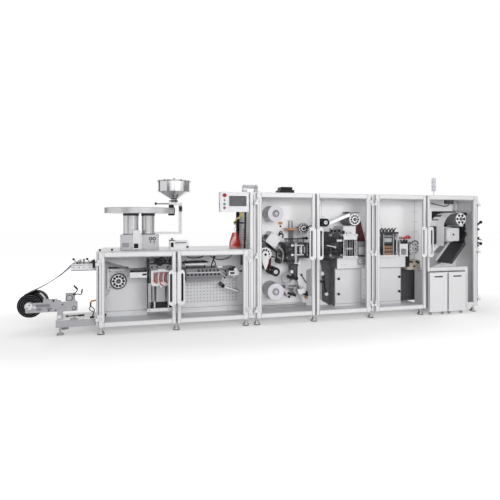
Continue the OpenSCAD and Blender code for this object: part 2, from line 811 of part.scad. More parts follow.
// Stand on the right feeder box: a foot bar, a column, the gate plate with two
// pull rods under the hopper's neck, and a vibrator box beside the column
module hopper_stand() color(steel) centred() {
    y0 = feeder_y - stand_w / 2;
    y1 = feeder_y + stand_w / 2;
    gate_z = neck_z - gate_t;
    gate_y = neck_r + gate_t / 2;
    box([right_column_x + right_column_r + hopper_wall, y0, feeder_top], [stand_x + stand_w, y1, feeder_top + gate_t]);
    box([stand_x, y0, feeder_top + gate_t], [stand_x + stand_w, y1, gate_z]);
    difference() {
        box([hopper_x - neck_r - gate_t, feeder_y - gate_y, gate_z], [stand_x + stand_w, feeder_y + gate_y, neck_z]);
        rod_z(hopper_x, feeder_y, neck_r - hopper_wall, gate_z - 1, neck_z + 1);
    }
    for (way = [-1, 1]) rod_x(feeder_y + way * neck_r, gate_z + gate_t / 2, gate_t / 4,
        hopper_x - neck_r - gate_t - gate_rod_l, hopper_x - neck_r - gate_t);
    box([stand_x, y0 - stand_w, gate_z - 2 * stand_w], [stand_x + stand_w, y0, gate_z - gate_t / 2]);
}

module brush_box() color(steel) centred() {
    x = feeder_x + brush_dx;
    y = feeder_y - feeder_box_d / 2 - brush_d * 0.75;
    plate = brush_h / 8;
    head_w = brush_l / 4;
    brush_r = brush_h / 5;
    box([x, y, table_z], [x + brush_l, y + brush_d, table_z + plate]);
    box([x, y, table_z + plate], [x + head_w, y + brush_d, table_z + brush_h]);
    body_z = table_z + brush_h - 1.6 * brush_r;
    box([x + head_w, y + brush_d / 5, table_z + plate], [x + brush_l, y + brush_d * 0.9, body_z]);
    rod_x(y + brush_d / 2, table_z + brush_h - brush_r, brush_r, x + head_w, x + brush_l * 0.86);
    box([x + brush_l * 0.86, y + brush_d / 2 - brush_r * 1.2, body_z],
        [x + brush_l * 0.95, y + brush_d / 2 + brush_r * 1.2, table_z + brush_h]);
}

// Operator console with a framed screen, on a pipe that stands on the roof
module operator_console() color(steel) centred() {
    x1 = low_end_x - console_gap;
    pipe_x = x1 - console_pipe_r * 2;
    post_x = tall_x0 + console_pipe_r * 2;
    pipe_z = tall_z + console_pipe_up;
    y = console_d / 2;
    screen_at = [console_w - screen_w - bezel_w * 2, (console_h - screen_h) / 2 + bezel_w / 2];
    translate([x1 - console_w, 0, console_z]) {
        upright(bezel_h, console_d) round_rect([console_w, console_h], bezel_w / 2);
        upright(0, bezel_h) difference() {
            translate(screen_at - [bezel_w, bezel_w])
                round_rect([screen_w + 2 * bezel_w, screen_h + 2 * bezel_w], bezel_w / 2);
            translate(screen_at) square([screen_w, screen_h]);
        }
    }
    rod_z(pipe_x, y, console_pipe_r, console_z + console_h, pipe_z);
    rod_x(y, pipe_z, console_pipe_r, pipe_x, post_x);
    rod_z(post_x, y, console_pipe_r, tall_z, pipe_z);
    for (x = [pipe_x, post_x]) translate([x, y, pipe_z]) sphere(console_pipe_r + 4);
    rod_z(pipe_x, y, console_pipe_r * 1.6, console_z + console_h, console_z + console_h + console_pipe_r);
    rod_z(post_x, y, console_pipe_r * 1.8, tall_z, tall_z + console_pipe_r / 2);
}

module roof_vent() color(black) centred() {
    x = tall_x0 + vent_dx;
    y = depth / 2 - vent_w / 4;
    low_h = vent_h * 0.6;
    box([x, y, tall_z], [x + vent_w, y + vent_w, tall_z + low_h]);
    box([x + vent_w / 10, y + vent_w / 10, tall_z + low_h], [x + vent_w * 0.9, y + vent_w * 0.9, tall_z + vent_h]);
}

module signal_beacon() color(white_paint) centred() translate([tall_x(3) + beacon_dx, plate_back, tall_z])
    rotate_extrude() {
        base_h = beacon_r * 0.4;
        lamp_z = beacon_h * 0.32;
        square([beacon_r * 1.1, base_h]);
        square([beacon_r * 0.3, lamp_z]);
        translate([0, lamp_z]) square([beacon_r, beacon_h - lamp_z - beacon_r / 2]);
        translate([0, beacon_h - beacon_r / 2])
            polygon([[0, 0], [beacon_r, 0], [beacon_r * 0.7, beacon_r / 2], [0, beacon_r / 2]]);
    }

// Outer shape of the curly air hose between the table and a fitting on the side wall
module air_hose() color("red") centred() translate([hose_x, hose_y, table_z]) rotate_extrude()
    polygon([[0, 0], [hose_r, 0], [hose_r, hose_h / 5], [hose_r * 0.53, hose_h], [0, hose_h]]);

module cable_conduit() color(black) centred() {
    x = low_end_x - conduit_r - 6;
    y = depth - conduit_r * 4;
    fitting_z = table_z + hose_h;
    rod_z(x, y, conduit_r, table_z, console_z + conduit_r * 4);
    rod_x(y, console_z + conduit_r * 3, conduit_r * 0.8, x, low_end_x);
    rod_z(x, y, conduit_r * 1.2, table_z, table_z + conduit_r);
    rod_x(hose_y, fitting_z + conduit_r * 0.75, conduit_r * 0.4, hose_x, low_end_x);
    rod_z(hose_x, hose_y, conduit_r * 0.75, fitting_z, fitting_z + conduit_r * 1.5);
}

// Film unwinder at the left end
module unwinder_beam() color(plate_grey) centred() {
    pillar_w = foot_r * 1.5;
    y = arm_front - foot_screw_r;
    box([-beam_l, y, base_z], [0, y + beam_d, base_z + beam_h]);
    box([-beam_l + foot_screw_r, arm_front, base_z + beam_h],
        [-beam_l + foot_screw_r + pillar_w, arm_front + arm_t, arm_z]);
    for (foot_y = [y + foot_r, y + beam_d - foot_r]) {
        rod_z(-beam_l + foot_r, foot_y, foot_r, 0, foot_h / 2);
        translate([-beam_l + foot_r, foot_y, foot_h / 2])
            cylinder(r1 = foot_r, r2 = foot_screw_r * 1.6, h = foot_h / 2);
        rod_z(-beam_l + foot_r, foot_y, foot_screw_r, foot_h, base_z);
    }
}

// Arm with a shaft for the film roll, a clamp block on its top edge and a brake block with a knob
module unwinder_arm() color(steel) centred() {
    block_w = arm_h * 0.9;
    block_x = -roll_dx / 3 - block_w;
    knob_r = shaft_r * 1.2;
    upright(arm_front, arm_front + arm_t) {
        translate([-roll_dx - 2 * shaft_r, arm_z]) round_rect([roll_dx * 0.76, arm_h], arm_t / 2);
        translate([block_x, arm_z + arm_h / 2]) square([block_w, arm_h * 1.4]);
        translate([-roll_dx * 0.8, arm_z + arm_h]) square([roll_dx / 5, arm_h / 3]);
    }
    rod_y(-roll_dx, roll_z, shaft_r * 2.3, arm_front - arm_t * 0.7, arm_front);
    rod_y(-roll_dx, roll_z, shaft_r, arm_front + arm_t, film_back + arm_gap);
    rod_y(block_x + block_w / 2, arm_z + arm_h * 1.6, knob_r, arm_front - arm_t, arm_front);
}

// Table with two clamp bars on end feet, which let the film through
module splice_table() color(steel) centred() {
    foot = slot_clear - 5;
    bar = 2 * foot_screw_r;
    box([-splice_l, film_y - slot_clear, splice_z - splice_h], [0, film_back + slot_clear, splice_z]);
    for (x = [-splice_l * 0.85, -splice_l * 0.3]) {
        box([x, film_y - slot_clear, splice_z + film_gap], [x + bar, film_back + slot_clear, splice_z + film_gap + bar]);
        for (y = [film_y - slot_clear, film_back + slot_clear - foot])
            box([x, y, splice_z], [x + bar, y + foot, splice_z + film_gap]);
    }
}

// Straight sheets of film between the wheels and through the stations, parted by a hair at each bend
module film_run(points) upright(film_y, film_back)
    for (at = [1 : len(points) - 1]) {
        run = points[at] - points[at - 1];
        translate(points[at - 1]) rotate(atan2(run.y, run.x))
            translate([wrap_gap, -film_t / 2]) square([norm(run) - 2 * wrap_gap, film_t]);
    }

module film_web() color(film_grey) centred() {
    rise = film_t / 2;
    wrap = wrap_gap + rise;
    seal_wheel = [tall_x0 + seal_wheel_dx, seal_wheel_z];
    idle = [coding_bay + idle_roller_dx, idle_roller_z];
    scrap = [coding_bay + scrap_wheel_dx, scrap_wheel_z];
    splice_in = [-splice_l, splice_z + rise];
    seal_in = [tall_x0 + seal_dx, seal_web_z + rise];
    turn = crossing_turn(idle, idle_roller_r + wrap, scrap, scrap_wheel_r + wrap);
    way = [cos(turn), sin(turn)];
    scrap_end = [coding_bay + perforating_dx + perforating_w + guide_block_w * 0.9, guide_block_top + rise];
    film_run([leaves_wheel([-roll_dx, roll_z], roll_r + wrap, splice_in, 1), splice_in,
        [end_t + foot_r, splice_z + rise], [guide_box_dx, low_web_z + rise],
        [low_bay_w + cooling_dx + cooling_l + outfeed_l, low_web_z + rise]]);
    film_run([leaves_wheel(seal_wheel, seal_wheel_r + wrap, seal_in, 1), seal_in,
        seal_in + [seal_w, 0], [coding_bay + coding_dx, tall_web_z + rise],
        [punch_bay + trim_dx - film_gap, tall_web_z + rise]]);
    film_run([idle + (idle_roller_r + wrap) * way, scrap - (scrap_wheel_r + wrap) * way]);
    film_run([leaves_wheel(scrap, scrap_wheel_r + wrap, scrap_end, 1), scrap_end]);
}

// Shafts of the two foil rolls
module roll_shafts() color(steel) centred()
    for (z = [upper_roll_z, lower_roll_z]) {
        rod_y(foil_x, z, shaft_r * 1.8, bay_d - plate_gap / 2, bay_d);
        rod_y(foil_x, z, shaft_r, film_y - 10, bay_d - plate_gap / 2);
    }

module guide_wheels() color(dark_grey) centred() {
    guide_wheel(infeed_wheel_dx, infeed_wheel_z, infeed_wheel_r, bay_d - 80);
    guide_wheel(tall_x0 + tension_wheel_dx, tension_wheel_z, tension_wheel_r, wheel_front + wheel_t * 2);
    film_wheel([tall_x0 + seal_wheel_dx, seal_wheel_z], seal_wheel_r);
    film_wheel([coding_bay + scrap_wheel_dx, scrap_wheel_z], scrap_wheel_r);
    film_wheel([end_x - outfeed_wheel_dx, outfeed_wheel_z], outfeed_wheel_r);
}

// Bent bar around the infeed wheel, on three studs
module wheel_guard() color(white_paint) centred() {
    half_w = guard_w / 2;
    low = [guard_dx, low_web_z - guard_w / 2 - guard_h];
    corner = low + [0, guard_h];
    right = corner + [guard_l, 0];
    y = bay_d - 70;
    upright(y, y + half_w) {
        link(low, corner, half_w);
        link(corner, right, half_w);
    }
    for (at = [low, corner, right]) rod_y(at.x, at.y, half_w * 0.6, y + half_w, bay_d);
}

// Guide box, and the forming unit with its upper die, lower die, column and foot beam
module forming_station() color(dark_grey) centred() {
    low_w = forming_w * 0.74;
    low_x = forming_dx + forming_w * 0.07;
    low_z = low_web_z - forming_low_h;
    column_x = low_x + low_w / 2;
    on_plate(guide_box_dx, guide_box_dx + guide_box_l, low_web_z - guide_box_h, low_web_z, die_front);
    on_plate(forming_dx, forming_dx + forming_w, low_web_z + film_gap, low_web_z + film_gap + forming_h, die_front);
    on_plate(low_x, low_x + low_w, low_z, low_web_z, die_front);
    on_plate(column_x - forming_column_w / 2, column_x + forming_column_w / 2, forming_beam_z + forming_beam_h, low_z,
        die_front + die_step);
    on_plate(forming_dx, forming_dx + forming_w, forming_beam_z, forming_beam_z + forming_beam_h, die_front);
    for (x = [low_x + column_in, low_x + low_w - column_in])
        rod_z(x, die_front + column_in + die_step, die_column_r, forming_beam_z + forming_beam_h, low_z);
}

// Cooling rail with a lip below it, and an outfeed bracket with its roller
module cooling_rail() color(dark_grey) centred() {
    x = low_bay_w + cooling_dx;
    z = low_web_z - cooling_h;
    roller_z = low_web_z - outfeed_r;
    on_plate(x, x + cooling_l, z, low_web_z, die_front + die_step);
    on_plate(x, x + cooling_l, z - cooling_lip_h, z, die_front);
    on_plate(x + cooling_l, x + cooling_l + outfeed_l - outfeed_r * 2, roller_z - outfeed_r * 2, roller_z,
        film_back - outfeed_r);
    roller(x + cooling_l + outfeed_l, roller_z, outfeed_r);
}

module perforated_panel() color(steel) centred()
    on_plate(low_bay_w + panel_in, low_end_x - panel_in, panel_z, panel_z + panel_h, bay_d - panel_t);

// Dancer, tilted drive box, plain rollers and the tension bracket
module web_guides() color(steel) centred() {
    dancer = [low_bay_w + dancer_dx, dancer_z];
    pivot = dancer + [dancer_l, -dancer_drop];
    dancer_back = bay_d - panel_t;
    arm_y = film_y + film_w / 3;
    bracket_x = tall_x0 + tension_wheel_dx - tension_wheel_r * 2;
    bracket_z = tension_wheel_z - tension_wheel_r / 2;
    rod_y(dancer.x, dancer.y, dancer_r, arm_y, dancer_back);
    upright(arm_y - dancer_r / 2, arm_y) arm(dancer, pivot, dancer_r * 0.4, dancer_r * 0.66);
    rod_y(pivot.x, pivot.y, dancer_r * 0.45, arm_y, dancer_back);
    translate([foil_x - drive_box_w * 0.1, bay_d, drive_box_z]) rotate([0, drive_box_tilt, 0])
        box([-drive_box_w / 2, -drive_box_w * 1.5, -drive_box_w / 2], [drive_box_w / 2, 0, drive_box_w / 2]);
    roller(tall_x0 + rubber_roller_dx, rubber_roller_z, rubber_roller_r);
    roller(coding_bay + idle_roller_dx, idle_roller_z, idle_roller_r);
    on_plate(bracket_x, bracket_x + tension_wheel_r * 1.1, bracket_z, bracket_z + 34, bay_d - 50);
    on_plate(bracket_x + 14, bracket_x + tension_wheel_r, seal_z + seal_h, bracket_z, bay_d - 40);
}

// Sealing die set on a pair of guide plates and a column, with a terminal box below
module sealing_station() color(black) centred() {
    x = tall_x0 + seal_dx;
    plate_h = 57;
    column_x = x + seal_w * 0.47;
    column_h = seal_z - plate_h - rubber_roller_z + rubber_roller_r * 2.5;
    die_set(x, seal_w, seal_z, seal_h, seal_web_z);
    on_plate(x + seal_w / 3, x + seal_w * 0.75, seal_z - plate_h, seal_z, bay_d - 80);
    on_plate(column_x, column_x + 50, seal_z - plate_h - column_h, seal_z - plate_h, bay_d - 80);
    on_plate(column_x, column_x + 95, lower_roll_z - 66, lower_roll_z + 34, bay_d - 180);
}

// Station cabinet: a box with a door face, and a deeper top that carries the dies
module cabinet(x, w) {
    top_z = station_z - cabinet_top_h;
    on_plate(x + cabinet_step, x + w - cabinet_step, rail_top, top_z, cabinet_y);
    on_plate(x, x + w, top_z, station_z, cabinet_y - cabinet_top_out);
}

module station_cabinets() color(white_paint) centred() {
    cabinet(coding_bay + coding_cabinet_dx, coding_cabinet_w);
    cabinet(punch_bay + punch_cabinet_dx, punch_cabinet_w);
}

// Coding and perforating die sets, a counter block on the second, and a split guide block
module coding_station() color(black) centred() {
    perforating_x = coding_bay + perforating_dx;
    block_x = perforating_x + perforating_w;
    counter_z = station_z + perforating_h;
    die_set(coding_bay + coding_dx, coding_w, station_z, coding_h, tall_web_z);
    die_set(perforating_x, perforating_w, station_z, perforating_h, tall_web_z);
    on_plate(perforating_x + die_inset / 2, perforating_x + perforating_w - die_inset / 2, counter_z, counter_z + perforating_h / 3,
        die_front + die_step);
    on_plate(block_x, block_x + guide_block_w, station_z, tall_web_z, die_front + die_step);
    on_plate(block_x, block_x + guide_block_w, tall_web_z + film_gap, guide_block_top, die_front + die_step);
}

module punch_station() color(steel) centred()
    die_set(punch_bay + punch_dx, punch_w, station_z, punch_h, tall_web_z);

// Trim bracket with a window, the trim drum's cover and the waste guide plate
module trim_station() color(white_paint) centred() {
    x = punch_bay + trim_dx;
    drum_x = punch_bay + drum_dx;
    border = trim_w / 6;
    plate_z = drum_z - drum_r * 2 - waste_plate_h;
    difference() {
        on_plate(x, x + trim_w, station_z, station_z + trim_h, die_front + die_step);
        box([x + border, die_front, station_z + border],
            [x + trim_w - border, film_y + film_w / 2, station_z + trim_h / 2]);
    }
    rod_y(drum_x, drum_z, drum_r, film_y + film_w / 3, bay_d);
    rod_y(drum_x, drum_z, drum_r / 3, film_y + film_w / 4, film_y + film_w / 3);
    on_plate(drum_x - waste_plate_w / 2, drum_x + waste_plate_w / 2, plate_z, plate_z + waste_plate_h,
        film_y + film_w / 3);
}

// Gearbox, ejector, the arched film guide and a sensor box under the roof
module discharge_unit() color(plate_grey) centred() {
    arch_top = outfeed_wheel_z + outfeed_wheel_r + wrap_gap;
    arch_c = [end_x - outfeed_wheel_dx - arch_r * 0.3, arch_top + arch_t - arch_r];
    gearbox_x = end_x - gearbox_in - gearbox_w;
    sensor_x = tall_x(3) + sensor_box_dx;
    on_plate(gearbox_x, gearbox_x + gearbox_w, gearbox_z, gearbox_z + gearbox_h, film_y + film_w / 5);
    on_plate(end_x - ejector_in - ejector_w, end_x - ejector_in, ejector_z, ejector_z + ejector_h, film_y + film_w / 3);
    upright(film_y, bay_d) {
        intersection() {
            translate(arch_c) difference() {
                circle(arch_r);
                circle(arch_r - arch_t);
            }
            translate(arch_c - [arch_r, 0]) square(arch_r);
        }
        translate(arch_c - [arch_r, arch_leg]) square([arch_t, arch_leg]);
        translate(arch_c + [0, arch_r - arch_t]) square([end_x - outfeed_wheel_dx - arch_c.x, arch_t]);
    }
    box([sensor_x, sensor_box_w / 10, roof_under - sensor_box_h], [sensor_x + sensor_box_w, sensor_box_w / 2, roof_under]);
}

// Sloping chute towards the bins, with a rail along each side
module discharge_chute() color(dark_grey) centred() {
    length = norm([chute_run, chute_fall]);
    translate([end_x - chute_in, 0, gearbox_z - chute_drop]) rotate([0, -atan2(chute_fall, chute_run), 0]) {
        box([-length, die_front, -chute_t], [0, bay_d, 0]);
        for (y = [die_front, bay_d - chute_t])
            box([-length, y, 0], [0, y + chute_t, chute_rail_h]);
    }
}

// Levers on stub shafts outside the right end panel
module end_levers() color(steel) centred() {
    stub = lever_reach / 4;
    knob_r = lever_reach / 8;
    y = post_w * 2;
    tip = [lever_reach - knob_r, lever_reach * 0.35];
    for (lever = [[ejector_z + gearbox_h / 3, -0.6], [gearbox_z + gearbox_h * 1.1, 1]]) {
        tip_at = [end_x + tip.x, lever[0] + tip.y * lever[1]];
        rod_x(y, lever[0], knob_r * 0.8, end_x, end_x + stub);
        upright(y - knob_r / 2, y + knob_r / 2) arm([end_x + stub, lever[0]], tip_at, knob_r * 0.4, knob_r * 0.7);
        translate([tip_at.x, y, tip_at.y]) sphere(knob_r);
    }
}

// Doors: bars with rounded front edges, drawn from the hinge edge towards the free edge
module bar_profile(w) {
    translate([0, door_edge_r]) square([w, door_t - door_edge_r]);
    translate([door_edge_r, 0]) square([w - 2 * door_edge_r, door_edge_r]);
    for (x = [door_edge_r, w - door_edge_r]) translate([x, door_edge_r]) circle(door_edge_r);
}
module stile(x, w, z0, z1) translate([x, door_front, z0]) linear_extrude(z1 - z0) bar_profile(w);
module rail(x0, x1, z) translate([0, door_front, z]) along_x(x0, x1) mirror([1, -1]) bar_profile(door_rail_h);

module door_bars(index) {
    door = DOORS[index];
    w = door_w(door);
    h = door_h(door);
    free_x = w - free_stile_w;
    stile(0, hinge_stile_w, 0, h);
    stile(free_x, free_stile_w, cut_h(index), h);
    rail(hinge_stile_w, free_x, h - door_rail_h);
    if (cut_h(index) > 0) {
        stile(free_x - cut_w(index), free_stile_w, 0, cut_h(index) + door_rail_h);
        rail(w - cut_w(index), free_x, cut_h(index));
    }
    rail(hinge_stile_w, free_x - cut_w(index), 0);
}

module door_opening(index) {
    door = DOORS[index];
    free_x = door_w(door) - free_stile_w;
    difference() {
        translate([hinge_stile_w, door_rail_h])
            square([free_x - hinge_stile_w, door_h(door) - 2 * door_rail_h]);
        if (cut_h(index) > 0)
            translate([free_x - cut_w(index), 0]) square([cut_w(index) + free_stile_w, cut_h(index) + door_rail_h]);
    }
}

module at_door(index) translate([DOORS[index][0], 0, base_z]) scale_x(DOORS[index][3])
    translate([hinge_set, 0, 0]) children();

module door_handle(door) {
    x = door_w(door) - handle_w;
    z = door[4] - base_z - handle_l / 2;
    slot_x = handle_bar_w + handle_slot_w / 2;
    slot_end = (handle_l - handle_slot_l + handle_slot_w) / 2;
    translate([x, 0, z]) upright(handle_front, door_front) difference() {
        round_rect([handle_w, handle_l], handle_w / 2.4);
        link([slot_x, slot_end], [slot_x, handle_l - slot_end], handle_slot_w / 2);
    }
}

// Door's half of a lift-off hinge: a leaf on the stile and the upper barrel
module hinge_leaf() difference() {
    union() {
        cylinder(r = barrel_r, h = knuckle_l);
        box([0, -barrel_r / 2, 0], [hinge_edge + leaf_w, door_front - hinge_y, knuckle_l]);
    }
    translate([0, 0, -1]) cylinder(r = pin_r + run_clear, h = knuckle_l + 2);
}

module door_frame(index) color(white_paint) centred() at_door(index) {
    door = DOORS[index];
    door_bars(index);
    door_handle(door);
    for (z = hinge_heights(door)) translate([-hinge_edge, hinge_y, z - base_z]) hinge_leaf();
}

module door_glass(index) color(pane) centred() at_door(index)
    upright(door_front + (door_t - glass_t) / 2, door_front + (door_t + glass_t) / 2) door_opening(index);

module door_1_frame() door_frame(0);
module door_2_frame() door_frame(1);
module door_3_frame() door_frame(2);
module door_4_frame() door_frame(3);
module door_5_frame() door_frame(4);
module door_6_frame() door_frame(5);
module door_1_glass() door_glass(0);
module door_2_glass() door_glass(1);
module door_3_glass() door_glass(2);
module door_4_glass() door_glass(3);
module door_5_glass() door_glass(4);
module door_6_glass() door_glass(5);

// Rolls that turn on their shafts
module roll(x, z, r) difference() {
    union() {
        rod_y(x, z, r, film_y, film_back);
        rod_y(x, z, shaft_r * 2, film_y - 3, film_y);
    }
    rod_y(x, z, shaft_r + run_clear, film_y - 4, film_back + 1);
}
module film_roll() color(black) centred() roll(-roll_dx, roll_z, roll_r);
module upper_foil_roll() color(steel) centred() roll(foil_x, upper_roll_z, upper_roll_r);
module lower_foil_roll() color(steel) centred() roll(foil_x, lower_roll_z, lower_roll_r);

// Waste bins on casters
module waste_bin(index) color(white_paint) centred()
    translate([bin_x + index * (bin_w + bin_gap), -bin_proud, 0]) {
        caster_r = caster_h * 0.43;
        caster_in = caster_h;
        difference() {
            box([0, 0, caster_h], [bin_w, bin_d, caster_h + bin_h]);
            box([bin_wall, bin_wall, caster_h + bin_wall], [bin_w - bin_wall, bin_d - bin_wall, caster_h + bin_h + 1]);
        }
        for (x = [caster_in, bin_w - caster_in], y = [caster_in, bin_d - caster_in]) {
            rod_x(y, caster_r, caster_r, x - caster_w / 2, x + caster_w / 2);
            box([x - caster_w * 0.3, y - caster_w * 0.3, caster_r], [x + caster_w * 0.3, y + caster_w * 0.3, caster_h]);
        }
    }
module waste_bin_1() waste_bin(0);
module waste_bin_2() waste_bin(1);

base_rails();
levelling_feet();
floor_pans();
frame_posts();
hinge_brackets();
mounting_plates();
rear_housings();
rear_panels();
end_panels();
roof_panel();
table_top();
feeder_base();
feeder_disc();
hopper();
hopper_lid();
hopper_stand();
brush_box();
operator_console();
roof_vent();
signal_beacon();
air_hose();
cable_conduit();
unwinder_beam();
unwinder_arm();
splice_table();
film_web();
roll_shafts();
guide_wheels();
wheel_guard();
forming_station();
cooling_rail();
perforated_panel();
web_guides();
sealing_station();
station_cabinets();
coding_station();
punch_station();
trim_station();
discharge_unit();
discharge_chute();
end_levers();
door_1_frame();
door_2_frame();
door_3_frame();
door_4_frame();
door_5_frame();
door_6_frame();
door_1_glass();
door_2_glass();
door_3_glass();
door_4_glass();
door_5_glass();
door_6_glass();
film_roll();
upper_foil_roll();
lower_foil_roll();
waste_bin_1();
waste_bin_2();
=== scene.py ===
"""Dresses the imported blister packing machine: finishes, fittings, hose, light and camera."""
import math

import bmesh
import bpy
from bpy.props import FloatProperty, FloatVectorProperty, IntProperty, PointerProperty
from mathutils import Matrix, Vector


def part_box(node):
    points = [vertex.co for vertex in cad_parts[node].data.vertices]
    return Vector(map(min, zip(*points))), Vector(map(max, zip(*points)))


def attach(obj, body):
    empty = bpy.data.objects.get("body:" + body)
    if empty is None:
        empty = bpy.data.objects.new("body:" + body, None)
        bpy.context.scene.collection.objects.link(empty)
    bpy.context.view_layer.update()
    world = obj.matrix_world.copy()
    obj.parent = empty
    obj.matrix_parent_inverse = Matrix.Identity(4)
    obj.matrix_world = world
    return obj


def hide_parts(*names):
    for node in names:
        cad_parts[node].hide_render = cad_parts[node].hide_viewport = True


bl_info = {
    "name": "Blister packing machine",
    "version": (1, 0, 0),
    "blender": (4, 5, 0),
    "location": "3D View > Sidebar > Blister machine",
    "description": "Finishes and fittings of a glazed blister packing machine",
    "category": "Object",
}

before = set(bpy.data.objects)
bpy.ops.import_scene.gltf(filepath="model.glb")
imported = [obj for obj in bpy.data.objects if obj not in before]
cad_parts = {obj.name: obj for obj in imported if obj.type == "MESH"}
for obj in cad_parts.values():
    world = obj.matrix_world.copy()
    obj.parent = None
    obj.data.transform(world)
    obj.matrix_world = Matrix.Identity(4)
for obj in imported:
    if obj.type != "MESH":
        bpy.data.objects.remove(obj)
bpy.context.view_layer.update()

# Shapes are drawn in millimetres from the low section's front left corner on the floor
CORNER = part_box("base_rails")[0]
MM = 1000.0
# Corners this close become one, in millimetres: those of drawn shapes and of CAD nodes
WELD, NODE_WELD = 0.001, 0.01
# Angles in degrees: edges that turn by more are rounded, and those that turn by less are shaded smooth
ROUNDED, SMOOTH = 40, 20

FRONT = (0, -1, 0)
UP = (0, 0, 1)

# The machine's own measures, in millimetres
LOW_BAY, TALL_BAY, LAST_BAY = 890, 804, 852
LOW_END, TALL_START, END = 1780, 1820, 5084
BAY_4, BAY_5, BAY_6 = 2624, 3428, 4232
TABLE, ROOF = 935, 1632
PLATE_Y, FILM_Y, FILM_BACK = 380, 96, 366
TO_PLATE = PLATE_Y + 1
DIE_Y, DIE_BASE, CABINET_Y = 62, 814, 240
REAR_Y, PAN, FOOT_H = 700, 121, 90
FEEDER_X, FEEDER_Y = 465, 350
REEL_X, REEL_Z, FOIL_ROLL_X = -700, 342, 2138
FILM_W, ROLL_BORE, CORE_R = 270, 20.1, 34
DOOR_Y, PANE_Y = -46, -30

# Doors: hinge edge of the bay, bay width, top, direction from the hinge, middle of the handle
DOORS = {
    "door_1": (0, LOW_BAY, TABLE, 1, 505),
    "door_2": (LOW_END, LOW_BAY, TABLE, -1, 505),
    "door_3": (TALL_START, TALL_BAY, ROOF, 1, 993),
    "door_4": (BAY_5, TALL_BAY, ROOF, -1, 993),
    "door_5": (BAY_5, TALL_BAY, ROOF, 1, 993),
    "door_6": (END, LAST_BAY, ROOF, -1, 993),
}


def colour(name, description, value):
    """A colour that a user may change."""
    return FloatVectorProperty(name=name, description=description, subtype="COLOR", size=3, min=0.0, max=1.0,
                               default=value)


class BlisterColours(bpy.types.PropertyGroup):
    """Colours of the machine's finishes."""

    white_paint: colour("White paint", "Doors, frame, roof and bins", (0.70, 0.70, 0.71))
    plate_paint: colour("Plate paint", "Mounting plates behind the film", (0.90, 0.90, 0.91))
    # A darker copy of the plate paint for the low section under the table: painted shade
    plate_painted_shade_tone: colour("Low plate, painted shade", "Mounting plates of the low section", (0.74, 0.74, 0.76))
    grey_paint: colour("Grey paint", "Unwinder, console pipe and die bars", (0.40, 0.40, 0.42))
    light_grey: colour("Light grey paint", "Console, drive box, stand and cabinet doors", (0.70, 0.70, 0.72))
    # Painted shade: a dark colour that stands in for shade in the recesses beside the cabinets and in corners
    painted_shade_grey: colour("Painted shade grey", "Recesses beside the cabinets", (0.085, 0.085, 0.092))
    rail_grey: colour("Rail grey", "Cooling rail and die heads", (0.22, 0.22, 0.235))
    hammer_grey: colour("Hammered grey", "Feeder boxes", (0.52, 0.52, 0.54))
    beige: colour("Beige paint", "Waste guide plate", (0.50, 0.44, 0.37))
    steel: colour("Steel", "Brushed and turned steel", (0.42, 0.42, 0.43))
    bright_steel: colour("Bright steel", "Table top and polished columns", (0.64, 0.64, 0.65))
    dark_metal: colour("Dark metal", "Blackened dies and wheels", (0.055, 0.055, 0.06))
    black: colour("Black plastic", "Knobs, grips and gaskets", (0.016, 0.016, 0.017))
    rubber: colour("Rubber", "Foot pads and rollers", (0.02, 0.02, 0.021))
    red: colour("Red plastic", "Air hose and tubes", (0.55, 0.03, 0.025))
    stop_red: colour("Stop red", "Stop buttons", (0.27, 0.012, 0.016))
    copper: colour("Copper", "Heated lower die", (0.50, 0.29, 0.17))
    yellow: colour("Yellow plastic", "Air line above the hose", (0.62, 0.50, 0.06))
    amber: colour("Amber", "Warm plastic tubes and clips", (0.55, 0.26, 0.07))
    film: colour("Film", "Clear film in its runs", (0.33, 0.33, 0.35))
    film_black: colour("Black film", "Wound forming film", (0.006, 0.006, 0.007))
    # Painted light: a bright colour that stands in for light on film strips, the unwinder beam's top, the end
    # panel's inner face and the discharge arch
    painted_light: colour("Painted light", "Film that faces the light", (0.93, 0.93, 0.94))
    film_red: colour("Printed film", "Printed foil in its runs", (0.27, 0.035, 0.045))
    foil: colour("Foil", "Wound cover foil", (0.68, 0.67, 0.72))
    pane: colour("Pane", "Clear door panes", (0.09, 0.10, 0.10))
    screen: colour("Screen", "Operator screen", (0.10, 0.105, 0.11))
    teal: colour("Teal plastic", "Start button", (0.03, 0.32, 0.30))


class BlisterSizes(bpy.types.PropertyGroup):
    """Sizes of fittings that a user may change."""

    edge: FloatProperty(name="Edge radius", description="Radius of painted edges", default=0.003, min=0.0005,
                        max=0.008, unit="LENGTH")
    bolt_r: FloatProperty(name="Bolt radius", description="Radius of a bolt head", default=0.0065, min=0.003,
                          max=0.012, unit="LENGTH")
    hose_d: FloatProperty(name="Hose diameter", description="Diameter of the curly air hose", default=0.006,
                          min=0.005, max=0.007, unit="LENGTH")
    hose_turns: IntProperty(name="Hose turns", description="Turns of the curly air hose", default=20,
                            min=10, max=20)
    lens: FloatProperty(name="Lens", description="Focal length of the camera", default=28.8, min=10.0,
                        max=120.0, unit="CAMERA")


